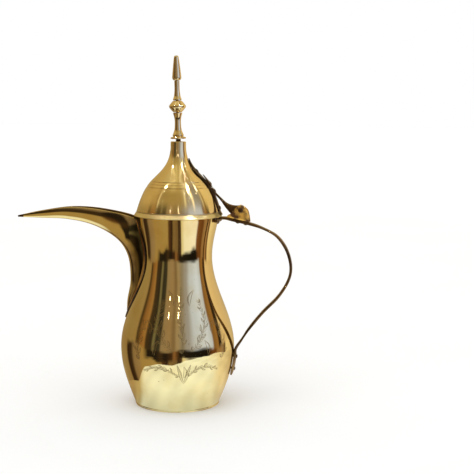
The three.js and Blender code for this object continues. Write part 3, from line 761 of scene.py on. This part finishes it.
def make_bracket():
    foot = [p for p in handle_top(GAP) if 47.5 < p[0] < 71]
    outline = foot + spline(DOME, 54)[1:-1]
    edge = [(0.02, 0), (0.9, 0), (0.975, 0.05), (1.0, 0.28), (1.0, 0.5), (0.985, 0.72), (0.95, 0.98),
            (0.88, 1.25)]
    bulge = [(0.76, -0.16), (0.6, 0.08), (0.4, 0.2), (0.2, 0.25), (0.02, 0.26)]
    profile = [(s, CHEEK_IN + y) for s, y in edge] + [(s, CHEEK_OUT + y) for s, y in bulge]
    cheeks = [pillow(outline, [(s, side * y) for s, y in profile], DOME_MIDDLE) for side in (-1, 1)]
    web_line = [p for p in handle_top(GAP + WEB_T / 2) if 50 < p[0] < 70.2]
    web = lofted(strip_rings(web_line, lambda s: CHEEK_IN + 0.4, lambda s: WEB_T / 2))
    shown("hinge_cheeks", joined(*cheeks, web), "ochre", "pot", "hinge_bracket")


def across_hinge(profile, segments):
    return moved(turned(profile, segments), placement(Vector((HINGE_X, 0, HINGE_Z)), Vector((0, 1, 0))))


def make_pin():
    end, rise, neck_r = CHEEK_OUT + GAP + 0.25, 0.85, 2.35
    cap = quarter(2.5, rise, end, 7)
    profile = [(0, -end - rise)] + [(r, -z) for r, z in cap[::-1]]
    profile += [(neck_r, -end + 0.2), (PIN_R, -end + 0.2), (PIN_R, end - 0.2), (neck_r, end - 0.2)]
    profile += cap + [(0, end + rise)]
    shown("hinge_pin_turned", across_hinge(profile, 32), "tarnished", "pot", "hinge_pin")


def on_lid(y, z, out):
    """A point off the lid's back, at a distance y from the plane of symmetry and `out` from the surface."""
    a = asin(max(-1.0, min(1.0, y / radius_at(lid_curve, z))))
    return surface_spot(lid_curve, z, a, out)[0]


def make_strap():
    side = [(STRAP_HALF, STRAP_LOW), (STRAP_HALF, 205), (STRAP_HALF, LEAF_Z), (LEAF_HALF, 227),
            (LEAF_HALF * 0.6, 234), (0.6, STRAP_TOP)]
    rings = []
    for i, (half, z) in enumerate(spline(side, 120)):
        end = min(1.0, i / 3)
        leafy = held((z - LEAF_Z) / 6) * held((STRAP_TOP - z) / 5)
        ring = []
        for y, h in section(32, half * (0.9 + 0.1 * end) - 0.05, STRAP_T / 2, 0.4, 0.5):
            if h > 0:
                share = abs(y) / max(half, 0.1)
                h += 0.4 * leafy * max(0.0, 1 - share) ** 2 - 0.12 * share ** 2
            ring.append(on_lid(y, z, GAP + STRAP_T / 2 + h))
        rings.append(ring)
    shown("strap_leaf", lofted(rings), "blackened", "lid", "lid_strap", sharp=50)


def foot_part(low, high, half):
    """A foot riveted on the strap."""
    rings = []
    for s in shares(14):
        end = sqrt(max(0.0, 1 - abs(2 * s - 1) ** 5))
        z = low + (high - low) * s
        shape = section(24, half * (0.72 + 0.28 * end), FOOT_T / 2 * (0.75 + 0.25 * end), 0.35, 0.5)
        rings.append([on_lid(y, z, STRAP_FACE + GAP + FOOT_T / 2 + h) for y, h in shape])
    return lofted(rings)


def make_lever():
    upper = [(36.8, 209.2), (43, 203.2), (48.1, 199), (54, 197), (61, HINGE_Z + EYE_R)]
    lower = [(36.8, 206.4), (42, 200.8), (47.2, 193.6), (53.5, 187.4), (58.6, HINGE_Z - EYE_R + 1)]
    root_half, steps = 2.3, 40
    rings = []
    for s, u, w in zip(shares(steps), spline(upper, steps), spline(lower, steps)):
        cx, cz = (u[0] + w[0]) / 2, (u[1] + w[1]) / 2
        hx, hz = (u[0] - w[0]) / 2, (u[1] - w[1]) / 2
        half = root_half + (LEVER_HALF - root_half) * min(1.0, s * 1.6)
        ring = []
        for y, h in section(32, half, 1.0, 0.55, 0.8):
            hollow = 0.35 * sin(pi * min(1.0, s * 1.1)) * (1 - h * h)
            ring.append((cx + hx * h, y - copysign(hollow, y), cz + hz * h))
        rings.append(ring)
    corner = [(0.4, 0), (0.1, 0.12), (0, 0.4)]
    eye = [(0, -LEVER_HALF)] + [(EYE_R - r, -LEVER_HALF + z) for r, z in corner]
    eye += [(EYE_R - r, LEVER_HALF - z) for r, z in corner[::-1]] + [(0, LEVER_HALF)]
    lever = joined(lofted(rings), across_hinge(eye, 40), foot_part(205.4, 212.6, 3.6))
    shown("lever_thorn", lever, "blackened", "lid", "hinge_lever", sharp=50)


def make_thumb_tab():
    root, out = surface_spot(lid_curve, LEAF_Z, 0, STRAP_FACE + GAP)
    up = Vector((-out.z, 0, out.x))
    rings = []
    for s in shares(20):
        middle = root + up * (-1.2 + 8.5 * s)
        lift = 0.68 + 0.25 * s
        half = 3.3 * (1 - 0.25 * s) * sqrt(max(0.02, 1 - s ** 4))
        ring = []
        for y, h in section(20, half, 0.56 * (1 - 0.45 * s ** 2), 0.45, 0.6):
            p = middle + out * (lift + h)
            ring.append((p.x, y, p.z))
        rings.append(ring)
    tab = joined(lofted(rings), foot_part(213.2, 220, 3.4))
    shown("thumb_piece", tab, "blackened", "lid", "thumb_tab", sharp=50)


def make_lid_rivets():
    grip = STRAP_T + GAP + WALL
    stack = grip + FOOT_T + GAP
    for name, z, out, hold in (("strap_rivet_upper", 229, STRAP_FACE, grip),
                               ("strap_rivet_lower", 194, STRAP_FACE, grip),
                               ("lever_rivet", 209.5, FOOT_FACE, stack),
                               ("thumb_rivet", 216.4, FOOT_FACE, stack)):
        part = rivet_part(*surface_spot(lid_curve, z, 0, out), hold)
        shown(name + "_head", part, "blackened", "lid", name)


# ---- lid


def grooved(curve, grooves):
    """Lines turned into a profile: (height, half width, depth) each."""
    out = list(curve)
    for z, half, deep in grooves:
        spots = []
        for away, cut in ((-1, 0), (-0.35, 1), (0.35, 1), (1, 0)):
            p, n = surface_spot(curve, z + half * away, 0)
            spots.append((p.x - n.x * deep * cut, p.z - n.z * deep * cut))
        out = [p for p in out if not z - half * 1.2 < p[1] < z + half * 1.2] + spots
        out.sort(key=lambda p: p[1])
    return out


def make_lid():
    rim = [(LID_R - 0.3, LID_Z), (LID_R - 0.06, LID_Z + 0.3)]
    rim += [(LID_R - 2.4 * (z - LID_Z) / 4, z) for z in (LID_Z + 1, LID_Z + 2.2, LID_Z + 3.2)]
    rim += [(LID_R - 2.22, LID_Z + 3.5), (LID_R - 2.56, LID_Z + 3.72), (LID_R - 2.52, LID_Z + 4.0)]
    dome = grooved(dome_curve[1:], [(214.0, 0.5, 0.28), (216.9, 0.35, 0.2), (219.3, 0.5, 0.28)])
    dome = [p for p in dome if p[1] > BEZEL_Z + 0.3]
    bore, crown = STUD_R + GAP, NECK_TOP - 1.4
    neck = [(NECK_R, NECK_TOP - 0.35), (NECK_R - 0.3, NECK_TOP), (bore + 0.2, NECK_TOP),
            (bore, NECK_TOP - 0.2)]
    inside = offset([(LID_R, LID_Z)] + dome_curve + onion_curve[1:], -WALL)
    hollow = [(bore, crown), (NECK_R - WALL, crown)] + inside[1:][::-1] + [(LID_R - WALL, LID_Z)]
    outside = rim + dome + onion_curve[1:] + neck
    verts, faces, place = turned(outside + hollow, RING_SEGMENTS)
    satin, tin, dull = range(3)
    slots = [tin if p >= len(outside) - 1 else dull if p < len(rim) else satin for p in place]
    shown("lid_dome", (verts, faces), "satin tin dull", "lid", "lid", slots, sharp=28)


def make_collar():
    seat, thick, round_over = LID_R - WALL - GAP - 1, 1.1, 0.2
    low, z, top = LID_Z - COLLAR_DEPTH, LID_Z, LID_Z + thick
    inner = COLLAR_R - thick
    profile = [(COLLAR_R - 0.3, low), (COLLAR_R, low + 0.4), (COLLAR_R, z - 0.3), (COLLAR_R + 0.3, z),
               (seat - round_over, z), (seat, z + round_over), (seat, top - round_over),
               (seat - round_over, top), (inner + 0.4, top), (inner, top - 0.4), (inner, low + 0.3),
               (inner + 0.2, low)]
    shown("lid_seat_ring", turned(profile, RING_SEGMENTS), "satin", "lid", "lid_collar")


# ---- finial


def lined(outside, rings):
    """Fine tool marks: shallow steps in and out at the given heights."""
    out = []
    for (r0, z0), (r1, z1) in zip(outside, outside[1:]):
        out.append((r0, z0))
        for z in rings:
            if z0 < z - 0.25 and z + 0.25 < z1:
                r = r0 + (r1 - r0) * (z - z0) / (z1 - z0)
                out += [(r, z - 0.22), (r - 0.16, z), (r, z + 0.22)]
    return out + [outside[-1]]


def leaning(part):
    pivot = Vector((0, 0, LEAN_Z))
    lean = Matrix.Rotation(radians(LEAN), 4, "Y")
    return moved(part, Matrix.Translation(pivot) @ lean @ Matrix.Translation(-pivot))


def finial_piece(name, node, profile, segments=72, sharp=32):
    shown(name, leaning(turned(profile, segments)), "turned", "lid", node, sharp=sharp)


def bored(outside):
    bore = ROD_R + GAP
    return [(bore, outside[0][1])] + outside + [(bore, outside[-1][1])]


def make_finial():
    spindle = spline([(5.2, 264.6), (3.6, 269), (3, 274.5), (3.2, 280), (4.3, 284.4)], 40)
    disc = [(6.6, 260.4), (7.2, 260.6), (7.5, 261.1), (7.5, 261.5), (7.1, 262.1), (5.5, 262.4),
            (5.0, 262.9), (5.3, 263.5), (5.4, 264.0)]
    collar = [(4.5, 284.8), (4.45, 285.3), (4.0, 285.6)]
    finial_piece("finial_foot", "finial_base", bored(lined(disc + spindle + collar, (267.2, 282.6))))
    bead = [(3.7, 285.9)] + bezier((3.9, 286.1), (5.0, 286.7), (6.2, 288.4), (7.7, 290.2), 12)
    bead += bezier((7.8, 290.4), (8.25, 291.1), (8.25, 291.9), (7.8, 292.6), 8)
    bead += bezier((7.7, 292.8), (6.2, 294.6), (5.0, 296.4), (3.9, 297.0), 12) + [(3.7, 297.2)]
    finial_piece("finial_bead_turned", "finial_bead", bored(lined(bead, (288.9,))))
    waist = spline([(4.1, 298.6), (3.1, 302), (2.5, 308), (2.5, 316.2)], 36)
    stem = [(3.6, 297.5), (4.2, 297.8), (4.25, 298.2)] + lined(waist, (300.4,))
    finial_piece("finial_stem", "finial_spindle", bored(stem))
    bore, blind_top = ROD_R + GAP, 321.4
    tip = [(bore, 316.5), (2.6, 316.5), (3.1, 316.6), (3.6, 316.95), (4.05, 317.5), (4.3, 318.2),
           (4.42, 319), (4.4, 319.9)]
    tip += bezier((4.25, 321.4), (3.6, 328), (2.9, 334), (2.3, 338.4), 16)
    tip += bezier((2.3, 338.7), (2.1, 339.5), (1.3, TOP_Z), (0.7, TOP_Z), 6)[1:]
    finial_piece("finial_point", "finial_tip", [(0, blind_top), (bore, blind_top)] + tip + [(0, TOP_Z)])


def make_stud():
    """The threaded stud, thinned to a rod above its thread."""
    pitch, deep, around, step = 0.8, 0.32, 48, 0.1
    rings = []
    for k in range(int((STUD_HIGH - STUD_LOW) / step) + 1):
        z = STUD_LOW + k * step
        fade = min(1.0, (z - STUD_LOW) / 0.6, (STUD_HIGH + step - z) / 0.4)
        ring = []
        for i in range(around):
            phase = ((z - STUD_LOW) / pitch - i / around) % 1.0
            r = STUD_R - deep * abs(2 * phase - 1) * fade
            ring.append(around_z(r, TAU * i / around, z))
        rings.append(ring)
    for r, z in ((ROD_R, STUD_HIGH + 0.05), (ROD_R, ROD_TOP - 0.3), (ROD_R * 0.7, ROD_TOP)):
        rings.append(circle(r, z, around))
    shown("finial_stud_threaded", leaning(lofted(rings)), "tarnished", "lid", "finial_stud", sharp=30)


def make_nut_and_washer():
    """What holds the stud, under the neck."""
    low, high, flat, bore, around = 251.4, 254.8, 5.0, STUD_R + GAP, 60
    rings = []
    for z, cut in ((low, 0.6), (low + 0.5, 0.0), (high - 0.5, 0.0), (high, 0.6)):
        ring = []
        for i in range(around):
            a = TAU * i / around
            sector = (a % (TAU / 6)) - TAU / 12
            r = min(flat * cos(TAU / 12) / cos(sector), flat - cut)
            ring.append(around_z(r, a, z))
        rings.append(ring)
    rings += [circle(bore, high, around), circle(bore, low, around), rings[0]]
    shown("finial_nut_hex", leaning(lofted(rings, cap=False)), "turned", "lid", "finial_nut", sharp=30)
    washer = [(bore, 255.1), (5.2, 255.1), (5.4, 255.3), (5.4, 255.9), (5.2, 256.1), (bore, 256.1)]
    finial_piece("finial_washer_disc", "finial_washer", washer, 48, sharp=38)


# ---- engraved foliage. Places on it are (distance round the pot, height).


def leaf(x, z, heading, length, width, hatch, side=1):
    """A slim leaf of two arcs, hatched on one side of its rib. Heading 0 points up the pot."""
    ux, uz = sin(heading), cos(heading)
    bend = 0.14 * length * side

    def at(s, w):
        w = w + bend * sin(pi * s)
        return x + ux * length * s + uz * w, z + uz * length * s - ux * w

    strokes = [[at(s, edge * width * sin(pi * s ** 0.85)) for s in shares(9)] for edge in (-1, 1)]
    for k in range(hatch):
        s = 0.14 + 0.7 * k / (hatch - 1)
        w = side * width * sin(pi * min(1.0, s + 0.08)) * 0.92
        strokes.append([at(s, 0.0), at(s + 0.05, w * 0.55), at(s + 0.1, w)])
    return strokes


def spray(points, barbs, length, rng, leaves):
    """A feathery stem: short curved cuts down both sides of a line, and a slim leaf here and there."""
    line = spline(points, barbs)
    strokes = [line]
    for i in range(1, barbs + 1):
        a, b = line[i - 1], line[i]
        heading = atan2(b[0] - a[0], b[1] - a[1])
        swell = 0.45 + 0.55 * sin(pi * (i / barbs) ** 0.8)
        for side in (-1, 1):
            turn = heading + side * rng.uniform(0.5, 0.8)
            reach = length * swell * rng.uniform(0.7, 1.1)
            if (i + side) % leaves == 0:
                strokes += leaf(*b, turn, reach * 1.35, reach * 0.16, 5, side)
                continue
            stroke = [b]
            for way in (turn, turn - side * 0.35):
                x, z = stroke[-1]
                stroke.append((x + sin(way) * reach * 0.5, z + cos(way) * reach * 0.5))
            strokes.append(stroke)
    return strokes


def tulip(x, z, high, wide):
    """A flower of two petals on each side, hatched between them, and a leaf in the middle."""
    outline = ((0, 0), (0.5, 0.28), (0.82, 0.66), (1, 1))
    strokes = []
    for side in (-1, 1):
        outer = spline([(x + side * wide * w, z + high * h) for w, h in outline], 16)
        inner = spline([(x, z + 1.5), (x + side * wide * 0.24, z + high * 0.35),
                        (x + side * wide * 0.42, z + high * 0.62), (x + side * wide, z + high)], 16)
        strokes += [outer, inner]
        for o, n in zip(outer[2:15], inner[2:15]):
            strokes.append([n, ((o[0] + n[0]) / 2, (o[1] + n[1]) / 2 + 0.5), (o[0], o[1] + 1.1)])
        strokes += [[o, (o[0] + side * 1.2, o[1] + 1.4)] for o in outer[4:16:2]]
    return strokes + leaf(x, z + high * 0.3, 0.0, high * 0.62, wide * 0.24, 7)


TULIP_X = 2


def composition(rng):
    strokes = tulip(TULIP_X, 31, 19, 6.5)
    for side in (-1, 1):
        def spread(*points):
            return [(side * x, z) for x, z in points]

        root = [(side * 4 + TULIP_X, 38)]
        strokes += spray(root + spread((14, 45), (25, 47), (37, 43)), 22, 4.2, rng, 6)
        strokes += spray(spread((43, 52), (46, 62), (43, 76), (36, 88)), 18, 6.5, rng, 5)
        strokes += spray(spread((9, 62), (19, 74), (23, 90), (17, 108)), 20, 6.0, rng, 4)
        strokes += leaf(side * 27, 58, side * -0.3, 15, 1.9, 9, side)
        strokes += leaf(side * 31, 78, side * 0.25, 13, 1.7, 8, -side)
        strokes += leaf(side * 8, 104, side * 0.3, 15, 1.8, 9, -side)
    return strokes + spray([(0, 60), (1.2, 76), (-1.2, 94), (0, 120)], 26, 5.2, rng, 7)


def cut_strokes(strokes, centre, mirror):
    """Each stroke as a thin raised burr that follows the shell, fading out at both ends."""
    longest, highest = 1.6, 140.0
    verts, faces = [], []
    for stroke in strokes:
        points = [stroke[0]]
        for a, b in zip(stroke, stroke[1:]):
            n = max(1, int(hypot(b[0] - a[0], b[1] - a[1]) / longest))
            points += [(a[0] + (b[0] - a[0]) * i / n, a[1] + (b[1] - a[1]) * i / n) for i in range(1, n + 1)]
        spots = []
        for x, z in points:
            z = min(z, highest)
            angle = centre + mirror * x / radius_at(body_curve, z)
            p, n = surface_spot(body_curve, z, angle)
            p += Vector(around_z(1, angle, 0)) * raised_by_hand(angle, z)
            spots.append((p, n))
        last = len(spots) - 1
        for i, (p, n) in enumerate(spots):
            before, after = neighbours(spots, i)
            along = (after[0] - before[0]).normalized()
            across = n.cross(along).normalized()
            half = 0.06 + 0.15 * sin(pi * (i / last)) ** 0.5
            if i < last:
                a = len(verts)
                faces += [[a, a + 1, a + 4, a + 3], [a + 1, a + 2, a + 5, a + 4]]
            foot = p + n * 0.008
            verts += [foot + across * half, p + n * (0.02 + half * 0.3), foot - across * half]
    return verts, faces


def make_engraving():
    for name, angle, mirror in (("engraving_near", -78, 1), ("engraving_far", 78, -1)):
        part = cut_strokes(composition(random.Random(11)), radians(angle), mirror)
        piece = placed(name, mesh_of(name, part, [materials["cut"]]))
        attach(piece, "pot")


# ---- stage

FRONT = atan2(CAMERA_AT[1], CAMERA_AT[0])  # the side of the pot that faces the camera

# What the brass reflects, by degrees to the right of the front, and its colour there. Five layers: the room
# above the table's edge, the shade under that edge, the room below it, the ceiling's rim and its middle.
ROOM = [
    (-180, 0.4, 0.3, 0.14), (-120, 0.34, 0.25, 0.11), (-98, 0.36, 0.26, 0.12), (-91, 0.08, 0.05, 0.02),
    (-80, 0.3, 0.15, 0.05), (-72, 0.36, 0.2, 0.07), (-66, 0.06, 0.04, 0.02), (-55, 0.04, 0.03, 0.02),
    (-50, 0.2, 0.18, 0.1), (-44, 0.04, 0.035, 0.025), (-37, 0.05, 0.045, 0.03), (-32, 0.32, 0.24, 0.15),
    (-18, 0.35, 0.25, 0.15), (-8, 0.24, 0.17, 0.1), (0, 0.38, 0.3, 0.2), (10, 0.3, 0.27, 0.25),
    (22, 0.36, 0.37, 0.48), (38, 0.6, 0.72, 1.15), (60, 0.7, 0.85, 1.4), (72, 0.6, 0.72, 1.15),
    (77, 0.26, 0.14, 0.05), (88, 0.34, 0.18, 0.06), (91, 0.03, 0.02, 0.01), (97, 0.05, 0.03, 0.015),
    (101, 0.84, 0.65, 0.4), (130, 0.74, 0.57, 0.34), (180, 0.4, 0.3, 0.14),
]
SHADE = [
    (-180, 0.02, 0.015, 0.01), (-44, 0.02, 0.015, 0.01), (-33, 0.05, 0.03, 0.015), (-24, 0.02, 0.014, 0.01),
    (-12, 0.05, 0.025, 0.012), (-6, 0.26, 0.13, 0.05), (0, 0.1, 0.05, 0.02), (5, 0.02, 0.015, 0.01),
    (44, 0.012, 0.01, 0.008), (180, 0.02, 0.015, 0.01),
]
LOW_ROOM = [
    (-180, 0.36, 0.26, 0.12), (-126, 0.34, 0.24, 0.11), (-118, 0.04, 0.02, 0.01), (-108, 0.05, 0.03, 0.015),
    (-98, 0.3, 0.21, 0.12), (-88, 0.34, 0.24, 0.13), (-76, 0.4, 0.28, 0.11), (-34, 0.42, 0.3, 0.12),
    (-29, 0.1, 0.05, 0.02), (-20, 0.04, 0.02, 0.01), (-15, 0.24, 0.16, 0.07), (-2, 0.2, 0.13, 0.06),
    (1, 0.05, 0.03, 0.015), (8, 0.08, 0.05, 0.03), (11, 0.8, 0.72, 0.48), (22, 1.0, 1.0, 0.95),
    (58, 1.05, 1.05, 1.1), (64, 0.22, 0.09, 0.03), (79, 0.16, 0.065, 0.02), (86, 0.34, 0.2, 0.09),
    (102, 0.4, 0.24, 0.12), (108, 0.1, 0.05, 0.02), (114, 0.92, 0.77, 0.48), (150, 0.66, 0.52, 0.29),
    (180, 0.36, 0.26, 0.12),
]
CEILING = [
    (-180, 0.5, 0.38, 0.17), (-100, 0.6, 0.45, 0.2), (-80, 0.53, 0.39, 0.17), (-71, 0.34, 0.24, 0.09),
    (-68, 1.4, 1.25, 0.85), (-65, 0.4, 0.31, 0.14), (-30, 0.42, 0.32, 0.13), (8, 0.44, 0.34, 0.15),
    (18, 0.48, 0.41, 0.24), (24, 0.95, 0.9, 0.65), (30, 0.42, 0.4, 0.36), (46, 0.36, 0.36, 0.38),
    (51, 1.7, 1.6, 1.3), (56, 0.36, 0.36, 0.38), (81, 0.33, 0.32, 0.31), (85, 1.0, 0.9, 0.6),
    (89, 0.26, 0.16, 0.06), (96, 0.9, 0.74, 0.4), (130, 0.78, 0.62, 0.32), (180, 0.5, 0.38, 0.17),
]
ZENITH = [
    (-180, 0.42, 0.32, 0.14), (-80, 0.66, 0.55, 0.3), (-68, 1.3, 1.2, 0.85), (-58, 0.55, 0.42, 0.18),
    (-30, 0.72, 0.62, 0.33), (0, 0.55, 0.43, 0.2), (28, 0.72, 0.62, 0.37), (51, 1.3, 1.2, 0.9),
    (72, 0.36, 0.25, 0.11), (100, 0.5, 0.4, 0.22), (180, 0.42, 0.32, 0.14),
]
# The cloth round the pot: its colours, and how far it reaches.
CLOTH = [
    (-180, 0.34, 0.25, 0.12), (-100, 0.4, 0.29, 0.14), (-74, 0.55, 0.47, 0.28), (-58, 0.88, 0.95, 0.97),
    (0, 0.96, 1.06, 1.1), (58, 0.95, 1.03, 1.05), (88, 0.84, 0.78, 0.62), (125, 0.6, 0.48, 0.28),
    (180, 0.34, 0.25, 0.12),
]
CLOTH_REACH = [(-180, 0.16), (-140, 0.15), (-115, 0.085), (-74, 0.085), (-58, 0.15), (-30, 0.18), (-8, 0.17),
               (4, 0.19), (14, 0.23), (40, 0.28), (75, 0.34), (110, 0.3), (180, 0.16)]
STRAIGHT_BELOW = (1.0, 1.02, 0.9)
# The height where each layer begins, in degrees, and how many it takes to blend in.
LOW_ROOM_FROM, ZENITH_FROM = (-56, 6), (50, 12)
SHADE_FROM, ROOM_FROM, CEILING_FROM = (-19.5, 3), (-7, 2.2), (31.5, 4)


def blended(stops, at):
    for (a, *low), (b, *high) in zip(stops, stops[1:]):
        if a <= at <= b:
            s = (at - a) / (b - a)
            s = s * s * (3 - 2 * s)
            return [x + (y - x) * s for x, y in zip(low, high)]


def wave(turn, times, shift=0.0):
    return sin(radians(turn * times + shift))


def room_colour(turn, rise):
    """The room at a height: the lit cloth straight below, the room under the table's edge, a dark strip of
    shade, the room over it, and the ceiling."""
    def layer(colour, stops, start, blend, most=1.0):
        share = most * held((rise - start) / blend)
        return [a + (b - a) * share for a, b in zip(colour, blended(stops, turn))]

    shade, shade_blend = SHADE_FROM
    shade += 1.5 * wave(turn, 5.1, 20) + 1.2 * wave(turn, 11.7) - 3 * max(0.0, 1 - abs(turn + 38) / 30)
    shade_share = held((74 - abs(turn)) / 12)
    room, room_blend = ROOM_FROM
    room += 1.6 * wave(turn, 3.1) + 1.1 * wave(turn, 7.3, 40)
    ceiling, ceiling_blend = CEILING_FROM
    ceiling *= cos(radians(min(abs(turn), 150) * 0.55))
    colour = layer(STRAIGHT_BELOW, LOW_ROOM, *LOW_ROOM_FROM)
    colour = layer(colour, SHADE, shade, shade_blend, shade_share)
    colour = layer(colour, ROOM, room, room_blend)
    colour = layer(colour, CEILING, ceiling, ceiling_blend)
    return layer(colour, ZENITH, *ZENITH_FROM)


def glow(name, factor=1.0, colour=None):
    """A plain glow of one colour, or of the mesh's painted colours."""
    m = bpy.data.materials.new(name)
    m.use_nodes = True
    nt = m.node_tree
    nt.nodes.clear()
    tint = (*colour, 1) if colour else node(nt, "VertexColor", {}, layer_name="room")["Color"]
    light = node(nt, "Emission", {"Strength": factor, "Color": tint})[0]
    node(nt, "OutputMaterial", {"Surface": light})
    m.cycles.emission_sampling = "NONE"
    return m


def stage_mesh(name, verts, faces, material, reflected_only=True):
    piece = placed(name, mesh_of(name, (verts, faces), [material], 1))
    if reflected_only:
        piece.visible_camera = piece.visible_diffuse = piece.visible_shadow = False
        piece.visible_transmission = piece.visible_volume_scatter = False
    return piece


def painted(name, verts, faces, colours):
    piece = stage_mesh(name, verts, faces, glow(name + "_glow"))
    paint = piece.data.color_attributes.new("room", "FLOAT_COLOR", "POINT")
    paint.data.foreach_set("color", [x for c in colours for x in (*c, 1.0)])


def make_room():
    """A round room that only the brass sees: soft vertical bands of window, wall and shade."""
    far, middle, around, lowest, step, rows = 1.9, 0.15, 300, -75, 2.5, 66
    verts, colours = [], []
    for k in range(rows + 1):
        rise = lowest + step * k
        c, s = cos(radians(rise)), sin(radians(rise))
        for i in range(around + 1):
            turn = -180 + 360 * i / around
            verts.append(around_z(far * c, FRONT + radians(turn), middle + far * s))
            colours.append(room_colour(turn, rise))
    painted("room_reflection", verts, grid_faces(rows, around), colours)


def make_near_floor():
    """The lit cloth round the pot, as the brass sees it: dim under the belly, and shaded to the left."""
    around, rows, foot_r, height = 180, 14, 0.043, 0.00004
    verts, colours = [], []
    for k in range(rows + 1):
        for i in range(around + 1):
            turn = -180 + 360 * i / around
            r = foot_r + (blended(CLOTH_REACH, turn)[0] - foot_r) * (k / rows) ** 1.5
            lit = 0.76 + 0.34 * min(1.0, (r - foot_r) / 0.03)
            lit *= 1 + 0.05 * sin(turn * 0.09 + r * 60) + 0.04 * sin(turn * 0.23 - r * 95)
            verts.append(around_z(r, FRONT + radians(turn), height))
            colours.append([c * lit for c in blended(CLOTH, turn)])
    painted("near_floor", verts, grid_faces(rows, around), colours)


def lamp(name, turn, rise, size, strength):
    """A round lamp that only the brass sees, turned to the pot."""
    a, e = FRONT + radians(turn), radians(rise)
    out = Vector(around_z(cos(e), a, sin(e)))
    right = Vector((-sin(a), cos(a), 0))
    up = out.cross(right).normalized()
    middle = out * 1.7 + Vector((0, 0, 0.15))
    verts = [middle + (right * x + up * y) * size for x, y, _ in circle(1, 0, 20)]
    stage_mesh(name, verts, [list(range(20))], glow(name + "_glow", strength, (1, 0.97, 0.9)))


def pale(name, colour):
    m, nt, shader, at = node_material(name)
    tint = ramp(nt, noise(nt, at, 3, 2), [(0.3, colour), (0.7, tuple(c * 0.97 for c in colour))])
    feed(nt, shader, {"Base Color": tint, "Roughness": 0.8, "Specular IOR Level": 0.1})
    return m


def make_stage():
    scene = bpy.context.scene
    scene.view_settings.view_transform = "Standard"
    world = bpy.data.worlds.new("studio")
    world.use_nodes = True
    sky = world.node_tree
    feed(sky, sky.nodes["Background"], {"Color": (1, 1, 1, 1), "Strength": 1.0})
    scene.world = world
    count, wide = 96, 14.0
    floor = stage_mesh("floor", circle(wide, 0, count), [list(range(count))],
                       pale("pale_floor", (0.93, 0.93, 0.92)), reflected_only=False)
    floor.visible_glossy = False
    data = bpy.data.lights.new("soft_key", "SUN")
    data.angle = radians(50)
    data.energy = 0.5
    key = placed("soft_key", data)
    key.rotation_euler = (radians(24), radians(-18), 0)
    key.visible_glossy = False
    make_room()
    make_near_floor()
    for name, turn, rise, size, strength in (("lamp_left", -68, 57.5, 0.04, 130),
                                             ("lamp_right", 51, 57.5, 0.06, 190),
                                             ("lamp_far_right", 85, 48, 0.026, 70),
                                             ("lamp_low_left", -22.6, 28.2, 0.014, 50),
                                             ("lamp_low_right", 1.5, 28.4, 0.014, 50)):
        lamp(name, turn, rise, size, strength)


# ---- all of it

aim_camera()
make_lower_body()
make_upper_body()
make_base_plate()
make_rim_wire()
make_spout()
make_handle()
make_saddle()
make_pot_rivets()
make_bracket()
make_pin()
make_strap()
make_lever()
make_thumb_tab()
make_lid_rivets()
make_lid()
make_collar()
make_finial()
make_stud()
make_nut_and_washer()
make_engraving()
make_stage()
